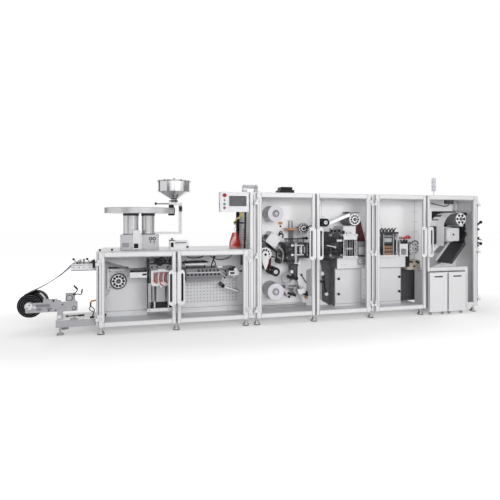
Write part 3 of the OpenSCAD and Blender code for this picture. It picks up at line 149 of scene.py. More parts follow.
# Finishes: colour property, roughness, metallic, colour variation, pattern scale per metre along X, Y and Z,
# bump height in metres and the record's slot
FINISHES = {
    "white_paint": ("white_paint", 0.36, 0.0, 0.035, (9, 9, 9), 0.00002, "white_paint"),
    "plate_paint": ("plate_paint", 0.42, 0.0, 0.06, (4, 4, 4), 0.00002, "plate_grey"),
    "grey_paint": ("grey_paint", 0.45, 0.0, 0.05, (12, 12, 12), 0.00005, "plate_grey"),
    # Darker copy of the plate paint: painted shade
    "plate_in_painted_shade": ("plate_painted_shade_tone", 0.42, 0.0, 0.05, (4, 4, 4), 0.00002, "plate_grey"),
    "light_paint": ("light_grey", 0.42, 0.0, 0.05, (14, 14, 14), 0.00005, "plate_grey"),
    # Painted shade for recesses and corners
    "painted_shade": ("painted_shade_grey", 0.55, 0.0, 0.12, (6, 6, 6), 0.00003, "dark_metal"),
    "rail_paint": ("rail_grey", 0.40, 0.0, 0.14, (60, 60, 60), 0.00004, "dark_metal"),
    "beige_paint": ("beige", 0.45, 0.0, 0.08, (20, 20, 20), 0.00004, "plate_grey"),
    "hammered_paint": ("hammer_grey", 0.38, 0.10, 0.16, (170, 170, 170), 0.0004, "plate_grey"),
    "table_steel": ("bright_steel", 0.30, 0.55, 0.05, (3, 160, 160), 0.00002, "brushed_steel"),
    "brushed_steel": ("steel", 0.30, 0.85, 0.10, (220, 220, 6), 0.00002, "brushed_steel"),
    "polished_steel": ("bright_steel", 0.24, 1.0, 0.08, (90, 90, 5), 0.00002, "brushed_steel"),
    "hopper_steel": ("bright_steel", 0.16, 1.0, 0.05, (60, 60, 4), 0.00001, "brushed_steel"),
    "column_steel": ("bright_steel", 0.30, 0.8, 0.04, (60, 60, 4), 0.00001, "brushed_steel"),
    "disc_steel": ("bright_steel", 0.34, 0.6, 0.04, (20, 20, 60), 0.00001, "brushed_steel"),
    "turned_steel": ("steel", 0.26, 0.9, 0.08, (60, 300, 60), 0.00002, "brushed_steel"),
    "dark_metal": ("dark_metal", 0.36, 0.1, 0.30, (40, 40, 40), 0.00004, "dark_metal"),
    "black_plastic": ("black", 0.34, 0.0, 0.25, (90, 90, 90), 0.00006, "black_plastic"),
    "rubber": ("rubber", 0.72, 0.0, 0.25, (200, 200, 200), 0.0001, "rubber_black"),
    "red_plastic": ("red", 0.33, 0.0, 0.10, (60, 60, 60), 0.00004, "red_plastic"),
    "stop_red": ("stop_red", 0.33, 0.0, 0.08, (60, 60, 60), 0.00004, "red_plastic"),
    "copper": ("copper", 0.34, 0.7, 0.14, (120, 10, 10), 0.00003, "dark_metal"),
    "yellow_plastic": ("yellow", 0.35, 0.0, 0.08, (60, 60, 60), 0.00003, "red_plastic"),
    "amber": ("amber", 0.38, 0.0, 0.12, (50, 50, 50), 0.00004, "red_plastic"),
    "film": ("film", 0.22, 0.0, 0.14, (5, 60, 5), 0.00003, "film"),
    # Painted light, for faces that are to look lit
    "painted_light": ("painted_light", 0.30, 0.0, 0.05, (5, 60, 5), 0.00003, "film"),
    "film_black": ("film_black", 0.55, 0.0, 0.30, (30, 30, 30), 0.00003, "film_black"),
    "film_red": ("film_red", 0.28, 0.1, 0.25, (40, 12, 40), 0.00003, "film"),
    "foil": ("foil", 0.30, 0.25, 0.06, (20, 20, 20), 0.00003, "foil"),
    # A grey copy of the foil for the roll's side: painted shade
    "foil_side_painted_shade": ("grey_paint", 0.36, 0.4, 0.10, (20, 120, 20), 0.00003, "foil"),
    "pane": ("pane", 0.04, 0.0, 0.02, (3, 3, 3), 0.0, "clear_pane"),
    "screen": ("screen", 0.12, 0.0, 0.35, (5, 5, 9), 0.0, "black_plastic"),
    "teal_plastic": ("teal", 0.30, 0.0, 0.08, (80, 80, 80), 0.00003, "red_plastic"),
    "perforated_sheet": ("white_paint", 0.34, 0.1, 0.05, (8, 8, 8), 0.0, "brushed_steel"),
}
CLEAR = {"pane": 0.02, "film": 0.45}
# Finishes that reflect less than plain plastic does
DULL = {"black_plastic": 0.15, "dark_metal": 0.2, "rubber": 0.1, "film_black": 0.1, "rail_paint": 0.25,
        "painted_shade": 0.1, "screen": 0.3}
# Sockets of a colour mix node
MIX_A, MIX_B, MIX_OUT = 6, 7, 2
# Holes of the perforated sheet and layers of a wound roll, per metre
PERFORATION, ROLL_LAYERS = 24.0, 260.0
# How dark the layers of a wound roll show
WOUND = {"foil": 0.14, "film_black": 0.5}
# Share by which gloss varies over a finish, and strength of its bumps
GLOSS_SPREAD, BUMP_STRENGTH = 0.2, 0.6


def node(tree, kind, values=None, **settings):
    """A new shader node with its settings and the values of its inputs."""
    item = tree.nodes.new("ShaderNode" + kind)
    for name, value in settings.items():
        setattr(item, name, value)
    for socket, value in (values or {}).items():
        item.inputs[socket].default_value = value
    return item


def new_material(name, values):
    """A new material, with its node tree and its shader."""
    material = bpy.data.materials.new(name)
    material.use_nodes = True
    shader = material.node_tree.nodes["Principled BSDF"]
    for socket, value in values.items():
        shader.inputs[socket].default_value = value
    return material, material.node_tree, shader


def finish(name):
    """The material of one finish, made the first time it is asked for."""
    label = "blister_" + name
    if label in bpy.data.materials:
        return bpy.data.materials[label]
    colour_name, roughness, metallic, vary, scale, bump_height, _ = FINISHES[name]
    tint = Vector(getattr(bpy.context.scene.blister_colours, colour_name))
    darker = [channel * (1 - vary) for channel in tint]
    lighter = [min(channel * (1 + vary), 1.0) for channel in tint]
    material, tree, shader = new_material(label, {"Metallic": metallic})
    link = tree.links.new
    place = node(tree, "TexCoord")
    mapping = node(tree, "Mapping", {"Scale": scale})
    grain = node(tree, "TexNoise", {"Scale": 1.0, "Detail": 4.0, "Roughness": 0.6})
    shades = node(tree, "Mix", {MIX_A: (*darker, 1.0), MIX_B: (*lighter, 1.0)}, data_type="RGBA")
    link(place.outputs["Object"], mapping.inputs["Vector"])
    link(mapping.outputs["Vector"], grain.inputs["Vector"])
    link(grain.outputs["Fac"], shades.inputs["Factor"])
    colour_out = shades.outputs[MIX_OUT]
    if name == "perforated_sheet":
        colour_out = perforations(tree, place, colour_out)
    if name in WOUND:
        colour_out = windings(tree, place, colour_out, WOUND[name])
    link(colour_out, shader.inputs["Base Color"])
    gloss = node(tree, "MapRange", {"To Min": roughness * (1 - GLOSS_SPREAD),
                                    "To Max": roughness * (1 + GLOSS_SPREAD)})
    link(grain.outputs["Fac"], gloss.inputs["Value"])
    link(gloss.outputs["Result"], shader.inputs["Roughness"])
    if bump_height:
        bump = node(tree, "Bump", {"Strength": BUMP_STRENGTH, "Distance": bump_height})
        link(grain.outputs["Fac"], bump.inputs["Height"])
        link(bump.outputs["Normal"], shader.inputs["Normal"])
    if name in DULL:
        shader.inputs["Specular IOR Level"].default_value = DULL[name]
    if name in CLEAR:
        shader.inputs["Alpha"].default_value = CLEAR[name]
    return material


def perforations(tree, place, ground):
    """Rows of dark round holes over a ground colour, in the plane of the plates."""
    link = tree.links.new
    parts = node(tree, "SeparateXYZ")
    flat = node(tree, "CombineXYZ")
    cells = node(tree, "TexVoronoi", {"Scale": PERFORATION, "Randomness": 0.0}, voronoi_dimensions="2D")
    hole = node(tree, "MapRange", {"From Min": 0.20, "From Max": 0.26})
    holes = node(tree, "Mix", {MIX_A: (0.42, 0.42, 0.44, 1.0)}, data_type="RGBA")
    link(place.outputs["Object"], parts.inputs["Vector"])
    link(parts.outputs["X"], flat.inputs["X"])
    link(parts.outputs["Z"], flat.inputs["Y"])
    link(flat.outputs["Vector"], cells.inputs["Vector"])
    link(cells.outputs["Distance"], hole.inputs["Value"])
    link(hole.outputs["Result"], holes.inputs["Factor"])
    link(ground, holes.inputs[MIX_B])
    return holes.outputs[MIX_OUT]


def windings(tree, place, ground, depth):
    """Faint layers along the depth of a wound roll's edge."""
    link = tree.links.new
    layers = node(tree, "TexNoise", {"Scale": ROLL_LAYERS, "Detail": 2.0})
    shade = node(tree, "Mix", {MIX_B: (1 - depth, 1 - depth, 1 - depth, 1.0)}, data_type="RGBA",
                 blend_type="MULTIPLY")
    link(place.outputs["Object"], layers.inputs["Vector"])
    link(layers.outputs["Fac"], shade.inputs["Factor"])
    link(ground, shade.inputs[MIX_A])
    return shade.outputs[MIX_OUT]


def as_mesh(name, shape):
    """Ends a shape as a mesh."""
    mesh = bpy.data.meshes.new(name)
    shape.to_mesh(mesh)
    shape.free()
    return mesh


def placed(name, data):
    """A new object in the scene."""
    item = bpy.data.objects.new(name, data)
    bpy.context.scene.collection.objects.link(item)
    return item


def round_curve(name, r, resolution):
    """An empty curve with a round section."""
    curve = bpy.data.curves.new(name, "CURVE")
    curve.dimensions = "3D"
    curve.bevel_depth = r
    curve.bevel_resolution = resolution
    curve.use_fill_caps = True
    return curve


def block_shape(low, high):
    """Box between two corners."""
    low, high = Vector(low), Vector(high)
    shape = bmesh.new()
    bmesh.ops.create_cube(shape, size=1.0)
    bmesh.ops.scale(shape, vec=high - low, verts=shape.verts)
    bmesh.ops.translate(shape, vec=(low + high) / 2, verts=shape.verts)
    return shape


def rod_shape(start, end, r, end_r=None, sides=24):
    """Round bar or cone between two points."""
    start, end = Vector(start), Vector(end)
    run = end - start
    shape = bmesh.new()
    bmesh.ops.create_cone(shape, cap_ends=True, segments=sides, radius1=r,
                          radius2=r if end_r is None else end_r, depth=run.length)
    bmesh.ops.transform(shape, matrix=facing((start + end) / 2, run), verts=shape.verts)
    return shape


def facing(place, axis):
    """Matrix that takes a shape drawn round the upright axis to a place and an axis."""
    return Matrix.Translation(Vector(place)) @ Vector(axis).to_track_quat("Z", "Y").to_matrix().to_4x4()


def turned_shape(profile, place, axis=UP, sides=48):
    """Turned shape: a profile of radius and height, spun about an axis."""
    shape = bmesh.new()
    corners = [shape.verts.new((r, 0, height)) for r, height in profile]
    line = [shape.edges.new(pair) for pair in zip(corners, corners[1:])]
    bmesh.ops.spin(shape, geom=corners + line, cent=(0, 0, 0), axis=UP, dvec=(0, 0, 0), angle=math.tau,
                   steps=sides, use_merge=True, use_duplicate=False)
    bmesh.ops.remove_doubles(shape, verts=shape.verts, dist=WELD)
    bmesh.ops.recalc_face_normals(shape, faces=shape.faces)
    bmesh.ops.transform(shape, matrix=facing(place, axis), verts=shape.verts)
    return shape


def coil_shape(place, r, wire_r, turns, height):
    """Upright spring."""
    sides, steps_per_turn = 8, 14
    shape = bmesh.new()
    section = Matrix.Translation((r, 0, 0)) @ Matrix.Rotation(math.pi / 2, 4, "X")
    bmesh.ops.create_circle(shape, cap_ends=False, segments=sides, radius=wire_r, matrix=section)
    steps = round(turns * steps_per_turn)
    bmesh.ops.spin(shape, geom=shape.verts[:] + shape.edges[:], cent=(0, 0, 0), axis=UP,
                   dvec=(0, 0, height / steps), angle=math.tau * turns, steps=steps, use_merge=False,
                   use_duplicate=False)
    bmesh.ops.holes_fill(shape, edges=shape.edges, sides=sides)
    bmesh.ops.recalc_face_normals(shape, faces=shape.faces)
    bmesh.ops.transform(shape, matrix=facing(place, UP), verts=shape.verts)
    return shape


def draw_back(shape, drawn, depth):
    """Moves newly drawn corners along Y."""
    corners = [part for part in drawn["geom"] if isinstance(part, bmesh.types.BMVert)]
    bmesh.ops.translate(shape, vec=(0, depth, 0), verts=corners)


def strip_shape(points, y0, y1, thickness):
    """Bent sheet: a line of X and Z points drawn out along Y and given a thickness."""
    shape = bmesh.new()
    corners = [shape.verts.new((x, y0, z)) for x, z in points]
    line = [shape.edges.new(pair) for pair in zip(corners, corners[1:])]
    draw_back(shape, bmesh.ops.extrude_edge_only(shape, edges=line), y1 - y0)
    bmesh.ops.recalc_face_normals(shape, faces=shape.faces)
    bmesh.ops.solidify(shape, geom=shape.faces[:], thickness=thickness)
    bmesh.ops.recalc_face_normals(shape, faces=shape.faces)
    return shape


def prism_shape(outline, y0, y1):
    """Flat outline of X and Z points with a thickness along Y."""
    shape = bmesh.new()
    sheet = shape.faces.new([shape.verts.new((x, y0, z)) for x, z in outline])
    draw_back(shape, bmesh.ops.extrude_face_region(shape, geom=[sheet]), y1 - y0)
    bmesh.ops.recalc_face_normals(shape, faces=shape.faces)
    return shape


def tube_shape(points, r):
    """Round tube along a smooth curve through points."""
    curve = round_curve("tube", r, 3)
    curve.resolution_u = 8
    spline = curve.splines.new("BEZIER")
    spline.bezier_points.add(len(points) - 1)
    for knot, point in zip(spline.bezier_points, points):
        knot.co = point
        knot.handle_left_type = knot.handle_right_type = "AUTO"
    holder = placed("tube", curve)
    bpy.context.view_layer.update()
    mesh = bpy.data.meshes.new_from_object(holder.evaluated_get(bpy.context.evaluated_depsgraph_get()))
    shape = bmesh.new()
    shape.from_mesh(mesh)
    bmesh.ops.remove_doubles(shape, verts=shape.verts, dist=WELD)
    bpy.data.objects.remove(holder)
    bpy.data.curves.remove(curve)
    bpy.data.meshes.remove(mesh)
    return shape


def round_edges(shape, edge, least=ROUNDED):
    """Rounds every edge of a shape that turns by more than an angle in degrees."""
    sharp = [line for line in shape.edges
             if line.is_manifold and line.calc_face_angle() > math.radians(least)]
    bmesh.ops.bevel(shape, geom=sharp, offset=edge, offset_type="OFFSET", affect="EDGES", segments=2,
                    profile=0.5, material=-1, clamp_overlap=True)
    bmesh.ops.dissolve_degenerate(shape, dist=NODE_WELD, edges=shape.edges)


class Form:
    """One piece in the making: shapes are added in the finish chosen last."""

    def __init__(self, name, finish_name):
        self.name = name
        self.mesh = bmesh.new()
        self.finishes = []
        self.use(finish_name)

    def use(self, finish_name):
        """Shapes added from here on have this finish."""
        if finish_name not in self.finishes:
            self.finishes.append(finish_name)
        self.current = self.finishes.index(finish_name)
        return self

    def add(self, shape, edge=0.0, areas=()):
        """Takes a shape in, with its edges rounded and its areas in other finishes or left out."""
        if edge:
            round_edges(shape, edge)
        chosen = self.current
        for face in shape.faces:
            face.material_index = chosen
        for low, high, finish_name in areas:
            inside = [face for face in shape.faces
                      if all(a <= m <= b for a, m, b in zip(low, face.calc_center_median(), high))]
            if finish_name is None:
                bmesh.ops.delete(shape, geom=inside, context="FACES")
                continue
            self.use(finish_name)
            for face in inside:
                face.material_index = self.current
        self.current = chosen
        mesh = as_mesh("shape", shape)
        self.mesh.from_mesh(mesh)
        bpy.data.meshes.remove(mesh)
        return self

    def block(self, low, high, edge=1.5):
        return self.add(block_shape(low, high), edge)

    def rod(self, start, end, r, end_r=None, edge=0.0, sides=24):
        return self.add(rod_shape(start, end, r, end_r, sides), edge)

    def post(self, foot, low, high, r, edge=0.0, sides=24):
        """Upright rod between two heights."""
        return self.rod((*foot, low), (*foot, high), r, edge=edge, sides=sides)

    def stud(self, place, r, edge=0.0):
        """Rod from a place straight back to the mounting plate."""
        return self.rod(place, (place[0], PLATE_Y, place[2]), r, edge=edge)

    def turned(self, profile, place, axis=UP, sides=48):
        return self.add(turned_shape(profile, place, axis, sides))

    def disc(self, r, height, place, axis=UP, sides=48):
        """Flat disc that stands on a place."""
        return self.turned([(0, 0), (r, 0), (r, height), (0, height)], place, axis, sides)

    def boss(self, r, rim, top_r, top, place, axis=UP, sides=48):
        """Disc up to its rim that narrows to a smaller top."""
        return self.turned([(0, 0), (r, 0), (r, rim), (top_r, top), (0, top)], place, axis, sides)

    def washer(self, bore, r, low, high, place, axis=UP, sides=48):
        """Disc with a bore, between two heights."""
        return self.turned([(bore, low), (r, low), (r, high), (bore, high), (bore, low)], place, axis, sides)

    def ball(self, place, r):
        shape = bmesh.new()
        bmesh.ops.create_icosphere(shape, subdivisions=3, radius=r, matrix=Matrix.Translation(Vector(place)))
        return self.add(shape)

    def ring(self, place, axis, r, wire_r, sides=48):
        loop = [(r + wire_r * math.cos(turn), wire_r * math.sin(turn))
                for turn in (math.tau * step / 10 for step in range(11))]
        return self.turned(loop, place, axis, sides)

    def coil(self, place, r, wire_r, turns, height):
        return self.add(coil_shape(place, r, wire_r, turns, height))

    def strip(self, points, y0, y1, thickness):
        return self.add(strip_shape(points, y0, y1, thickness))

    def prism(self, outline, y0, y1, edge=1.0):
        return self.add(prism_shape(outline, y0, y1), edge)

    def tube(self, points, r):
        return self.add(tube_shape(points, r))

    def bolt(self, place, axis=FRONT, r=None):
        """Socket screw head on a face."""
        r = r or bpy.context.scene.blister_sizes.bolt_r * MM
        return self.turned([(0, 0), (r, 0), (r, r * 0.7), (r * 0.88, r * 0.85), (r * 0.5, r * 0.85),
                            (r * 0.45, r * 0.3), (0, r * 0.3)], place, axis, 16)

    def bolts(self, xs, y, zs, r=None):
        """Screw heads where two rows of places cross on a face to the front."""
        for x in xs:
            for z in zs:
                self.bolt((x, y, z), r=r)
        return self

    def spring(self, place, r, wire_r, turns, height, pin_r, pin):
        """Upright spring round a pin."""
        self.coil(place, r, wire_r, turns, height)
        return self.rod(place, Vector(place) + Vector((0, 0, pin)), pin_r)

    def knob(self, place, axis=FRONT, r=15, height=None):
        """Round grip on a short neck."""
        height = height or r * 1.7
        return self.turned([(0, 0), (r * 0.45, 0), (r * 0.45, height * 0.35), (r * 0.9, height * 0.45),
                            (r, height * 0.6), (r, height * 0.85), (r * 0.85, height), (0, height)],
                           place, axis, 28)

    def take(self, item, edge, areas=(), least=ROUNDED):
        """Takes a copy of a CAD node, with its edges rounded and its areas in other finishes."""
        shape = bmesh.new()
        shape.from_mesh(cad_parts[item].data)
        bmesh.ops.translate(shape, vec=(-CORNER.x, -CORNER.y, 0), verts=shape.verts)
        bmesh.ops.scale(shape, vec=(MM, MM, MM), verts=shape.verts)
        bmesh.ops.remove_doubles(shape, verts=shape.verts, dist=NODE_WELD)
        bmesh.ops.dissolve_limit(shape, angle_limit=math.radians(1), verts=shape.verts, edges=shape.edges)
        if edge:
            round_edges(shape, edge, least=least)
        return self.add(shape, 0.0, areas)

    def done(self, body="machine", stands_for=()):
        """Makes the piece an object in the shared frame that rides on a body."""
        bmesh.ops.scale(self.mesh, vec=(1 / MM, 1 / MM, 1 / MM), verts=self.mesh.verts)
        bmesh.ops.translate(self.mesh, vec=(CORNER.x, CORNER.y, 0), verts=self.mesh.verts)
        mesh = as_mesh(self.name, self.mesh)
        for name in self.finishes:
            mesh.materials.append(finish(name))
        mesh.shade_smooth()
        mesh.set_sharp_from_angle(angle=math.radians(SMOOTH))
        piece = placed(self.name, mesh)
        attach(piece, body)
        if stands_for:
            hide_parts(*stands_for)
        return piece


def dressed(item, finish_name, edge, areas=(), body="machine", least=ROUNDED):
    """A CAD node with rounded edges in its finish."""
    return Form(item + "_skin", finish_name).take(item, edge, areas, least).done(body, (item,))


class BLISTER_OT_stage(bpy.types.Operator):
    """Camera, floor, world and soft lamps"""

    bl_idname = "blister.stage"
    bl_label = "Stage"

    def execute(self, context):
        self.camera(context)
        self.floor()
        self.flags()
        self.world(context)
        # Lamps: place, aim, width and height in metres, power in watts
        for name, place, aim, size, power in (
                ("front_lamp", (0.4, -7.5, 2.3), (0.2, 0.0, 0.9), (6.0, 2.4), 420),
                ("key_lamp", (-3.4, -5.0, 4.6), (-0.2, 0.0, 0.9), (3.0, 2.0), 25),
                ("top_lamp", (0.0, -0.6, 5.0), (0.0, 0.0, 0.0), (7.0, 2.0), 50),
                ("rear_lamp", (0.0, 6.5, 3.6), (0.0, 0.0, 0.9), (7.0, 3.0), 200)):
            lamp = bpy.data.lights.new(name, "AREA")
            lamp.shape = "RECTANGLE"
            lamp.size, lamp.size_y = size
            lamp.energy = power
            holder = placed(name, lamp)
            holder.location = place
            holder.visible_glossy = False
            holder.rotation_euler = (Vector(aim) - Vector(place)).to_track_quat("-Z", "Y").to_euler()
        context.scene.view_settings.view_transform = "Standard"
        return {"FINISHED"}

    def camera(self, context):
        """Level camera at the height of the console, turned a little to the right."""
        eye = bpy.data.cameras.new("camera")
        eye.sensor_width = 36.0
        eye.lens = context.scene.blister_sizes.lens
        eye.shift_x, eye.shift_y = 0.002, -0.06
        eye.clip_end = 200.0
        holder = placed("camera", eye)
        holder.location = (CORNER.x + 0.630, CORNER.y - 4.763, 1.290)
        holder.rotation_euler = (math.pi / 2, 0.0, math.radians(-13.4))
        context.scene.camera = holder

    def sheet(self, name, w, h, material):
        """Flat sheet that is no piece of the machine."""
        shape = bmesh.new()
        bmesh.ops.create_grid(shape, x_segments=1, y_segments=1, size=0.5)
        bmesh.ops.scale(shape, vec=(w, h, 1.0), verts=shape.verts)
        mesh = as_mesh(name, shape)
        mesh.materials.append(material)
        return placed(name, mesh)

    def floor(self):
        """Pale floor that shows the shadow and lifts to white away from the machine."""
        material, tree, shader = new_material("studio_floor", {
            "Base Color": (0.82, 0.82, 0.82, 1.0), "Roughness": 0.9, "Specular IOR Level": 0.1,
            "Emission Color": (1.0, 1.0, 1.0, 1.0)})
        link = tree.links.new
        place = node(tree, "TexCoord")
        reach = node(tree, "Mapping", {"Scale": (0.24, 0.55, 1.0)})
        away = node(tree, "VectorMath", operation="LENGTH")
        lift = node(tree, "MapRange", {"From Min": 0.55, "From Max": 1.5, "To Min": 0.26, "To Max": 0.75})
        shown = node(tree, "Math", operation="MULTIPLY")
        link(place.outputs["Object"], reach.inputs["Vector"])
        link(reach.outputs["Vector"], away.inputs[0])
        link(away.outputs["Value"], lift.inputs["Value"])
        link(lift.outputs["Result"], shown.inputs[0])
        link(seen_rays(tree), shown.inputs[1])
        link(shown.outputs[0], shader.inputs["Emission Strength"])
        ground = self.sheet("studio_floor", 80.0, 80.0, material)

    def flags(self):
        """Dark cards beside and above the camera, seen only in reflections, so that steel shows its form."""
        material = new_material("flag", {"Base Color": (0.10, 0.10, 0.10, 1.0), "Roughness": 0.9})[0]
        # Cards: middle, width and height in metres, and the way they face in degrees
        for index, (place, size, turn) in enumerate((
                ((-6.0, -5.0, 2.6), (2.6, 6.0), -50), ((5.6, -6.0, 2.6), (2.2, 6.0), 45),
                ((-1.6, -8.0, 3.0), (1.3, 6.0), 0), ((2.4, -8.0, 3.0), (1.0, 6.0), 0),
                ((-6.5, 4.5, 2.6), (2.4, 6.0), 230), ((6.5, 4.5, 2.6), (2.4, 6.0), 130))):
            card = self.sheet(f"flag_{index}", *size, material)
            card.location = place
            card.rotation_euler = (math.pi / 2, 0.0, math.radians(turn))
            card.visible_camera = card.visible_diffuse = False
            card.visible_shadow = card.visible_transmission = False

    def world(self, context):
        """White background to the eye, softer light on the machine."""
        world = bpy.data.worlds.new("studio")
        world.use_nodes = True
        tree = world.node_tree
        background = tree.nodes["Background"]
        background.inputs["Color"].default_value = (1.0, 1.0, 1.0, 1.0)
        strength = node(tree, "MapRange", {"To Min": 0.25, "To Max": 1.0})
        tree.links.new(seen_rays(tree), strength.inputs["Value"])
        tree.links.new(strength.outputs["Result"], background.inputs["Strength"])
        context.scene.world = world


def seen_rays(tree):
    """1 for rays that show the background: straight to the camera, in reflections and through panes."""
    path = node(tree, "LightPath")
    seen = path.outputs["Is Camera Ray"]
    for name in ("Is Glossy Ray", "Is Transmission Ray"):
        either = node(tree, "Math", operation="MAXIMUM")
        tree.links.new(seen, either.inputs[0])
        tree.links.new(path.outputs[name], either.inputs[1])
        seen = either.outputs[0]
    return seen


class BLISTER_OT_air_hose(bpy.types.Operator):
    """Curly air hose from its fitting down to the table"""

    bl_idname = "blister.air_hose"
    bl_label = "Air hose"

    def execute(self, context):
        sizes = context.scene.blister_sizes
        low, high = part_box("air_hose")
        points = self.route(sizes, (low + high) / 2, low.z, high.z, (high.x - low.x) / 2)
        curve = round_curve("air_hose_coil", sizes.hose_d / 2, 2)
        spline = curve.splines.new("POLY")
        spline.points.add(len(points) - 1)
        for knot, point in zip(spline.points, points):
            knot.co = (*point, 1.0)
        curve.materials.append(finish("red_plastic"))
        coil = placed("air_hose_coil", curve)
        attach(coil, "machine")
        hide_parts("air_hose")
        return {"FINISHED"}

    def route(self, sizes, middle, low_z, high_z, solid_r):
        """Points from the fitting: straight down, a stretched turn that widens, then the coil."""
        # In metres: gaps to the solid's side and the table, straight start, fall of the stretched turn,
        # and where the coil starts to widen and over what height
        side_gap, foot_gap, straight, steep, taper_start, taper = 0.0015, 0.0005, 0.006, 0.022, 0.1, 0.14
        # In turns: how far the hose takes to reach its radius, and to lie as a coil
        widening = 1.3
        settling = widening * 1.15
        points_per_turn = 24
        wire = sizes.hose_d / 2
        foot_r = solid_r - wire - side_gap
        top_r = foot_r * 0.48
        steps = sizes.hose_turns * points_per_turn
        turn = math.tau / points_per_turn
        stretch = [1 - smooth_step(step / points_per_turn / settling) for step in range(steps + 1)]
        z = high_z - straight
        fall = z - low_z - wire - foot_gap - sum(stretch[1:]) * steep * turn
        coiled = fall / sum(1 - share for share in stretch[1:])
        points = [Vector((middle.x, middle.y, high_z)), Vector((middle.x, middle.y, z))]
        for step in range(1, steps + 1):
            z -= stretch[step] * steep * turn + (1 - stretch[step]) * coiled
            down = min(max((high_z - z - taper_start) / taper, 0.0), 1.0)
            r = smooth_step(step / points_per_turn / widening) * (top_r + (foot_r - top_r) * down)
            x, y = middle.x + r * math.cos(step * turn), middle.y + r * math.sin(step * turn)
            points.append(Vector((x, y, z)))
        return points


def smooth_step(share):
    """Eases from 0 to 1."""
    share = min(max(share, 0.0), 1.0)
    return share * share * (3 - 2 * share)


class BLISTER_OT_housing(bpy.types.Operator):
    """Painted frame, plates, roof and table, with their seams, screws and vents"""

    bl_idname = "blister.housing"
    bl_label = "Housing"

    def execute(self, context):
        edge = context.scene.blister_sizes.edge * MM
        for item, finish_name, r in (
                ("base_rails", "white_paint", edge), ("frame_posts", "white_paint", edge),
                ("hinge_brackets", "white_paint", 1.2), ("rear_housings", "white_paint", 2.0),
                ("roof_panel", "white_paint", 2.0), ("table_top", "table_steel", 2.0),
                ("floor_pans", "light_paint", 0.8)):
            dressed(item, finish_name, r)
        # The plates of the low section take a darker copy of the plate paint: painted shade
        dressed("mounting_plates", "plate_paint", 2.0, [
            ((-10, 300, 100), (LOW_END + 10, 420, 940), "plate_in_painted_shade")])
        # The end panel's inner face, X 5040 to 5072, is in the bright colour: painted light on a face that is
        # in shade
        dressed("end_panels", "white_paint", edge, [((5040, 50, 100), (5072, 700, 1640), "painted_light")])
        self.plate_seams()
        self.post_trim()
        return {"FINISHED"}

    def plate_seams(self):
        """Joints between the mounting plates, with a row of screws on each side."""
        seams = Form("plate_seams", "black_plastic")
        screws = Form("plate_screws", "brushed_steel")
        for x, low, high in ((LOW_BAY, 180, 900), (2880, 180, 1600), (3560, 180, 1600), (4350, 640, 1600)):
            seams.block((x - 1.2, PLATE_Y - 0.6, low), (x + 1.2, PLATE_Y + 1, high), 0.0)
            for side in (-26, 26):
                for step in range(7):
                    screws.bolt((x + side, PLATE_Y, low + 40 + (high - low - 80) * step / 6))
        seams.done()
        screws.done()

    def post_trim(self):
        """Vents and screws of the side wall, knobs on the table's left end and dark joints of the posts."""
        wall = Form("side_wall_vents", "black_plastic")
        for row in range(7):
            z = 1030 + row * 22
            wall.block((LOW_END - 0.8, 250, z), (LOW_END + 2, 430, z + 9), 0.0)
        wall.use("brushed_steel")
        for y in (60, 640):
            for z in (990, 1290, 1560):
                wall.bolt((LOW_END, y, z), (-1, 0, 0))
        wall.done()
        knobs = Form("table_knobs", "black_plastic")
        for x, y in ((34, 60), (165, 64)):
            knobs.knob((x, y, TABLE), UP, 15, 24)
        knobs.done()
        joints = Form("post_joints", "black_plastic")
        joints.block((LOW_END - 4, -0.6, 121), (LOW_END, 2, 903), 0.0)
        joints.block((TALL_START, -0.6, 121), (TALL_START + 4, 2, 1600), 0.0)
        joints.block((BAY_5 - 4, -0.6, 121), (BAY_5 + 4, 2, 1600), 0.0)
        joints.done()


class BLISTER_OT_rear(bpy.types.Operator):
    """Rear panels with louvres and quarter-turn latches"""

    bl_idname = "blister.rear"
    bl_label = "Rear panels"

    def execute(self, context):
        dressed("rear_panels", "white_paint", 3.0)
        trim = Form("rear_trim", "white_paint")
        for x0, w, top in ((0, LOW_BAY, 905), (LOW_BAY, LOW_BAY, 905), (TALL_START, TALL_BAY, 1602),
                           (BAY_4, TALL_BAY, 1602), (BAY_5, TALL_BAY, 1602), (BAY_6, LAST_BAY, 1602)):
            middle = x0 + w / 2
            for bank in ((230,) if top < 1000 else (230, 1320)):
                for row in range(7):
                    z = bank + row * 26
                    trim.use("white_paint")
                    trim.rod((middle - 150, REAR_Y - 2, z), (middle + 150, REAR_Y - 2, z), 6, sides=16)
                    trim.use("black_plastic").block((middle - 148, REAR_Y - 1, z - 9),
                                                    (middle + 148, REAR_Y + 0.6, z - 5), 0.0)
            trim.use("black_plastic")
            for x in (x0 + 60, x0 + w - 60):
                for z in (190, top - 70):
                    trim.boss(17, 3, 14, 6, (x, REAR_Y, z), (0, 1, 0), 28)
                    trim.block((x - 3, REAR_Y + 5, z - 12), (x + 3, REAR_Y + 8, z + 12), 0.8)
        trim.done()
        return {"FINISHED"}


class BLISTER_OT_feet(bpy.types.Operator):
    """Levelling feet with rubber pads, bells, nuts and screws"""

    bl_idname = "blister.feet"
    bl_label = "Levelling feet"

    def execute(self, context):
        feet = Form("levelling_feet_turned", "polished_steel")
        for x in (50, 890, 1730, 1870, BAY_4, BAY_5, BAY_6 - 50, 5034):
            for y in (25, 660):
                foot(feet, x, y)
        feet.done(stands_for=("levelling_feet",))
        return {"FINISHED"}


def foot(form, x, y):
    """One levelling foot under a rail or beam."""
    form.use("rubber").boss(40, 7, 38, 9, (x, y, 0))
    form.use("polished_steel").turned([(0, 9), (39, 9), (39, 12), (36, 20), (28, 30), (22, 42), (20, 52),
                                       (0, 52)], (x, y, 0))
    form.post((x, y), 52, FOOT_H, 12)
    form.use("brushed_steel").post((x, y), 74, 88, 21, edge=1.5, sides=6)


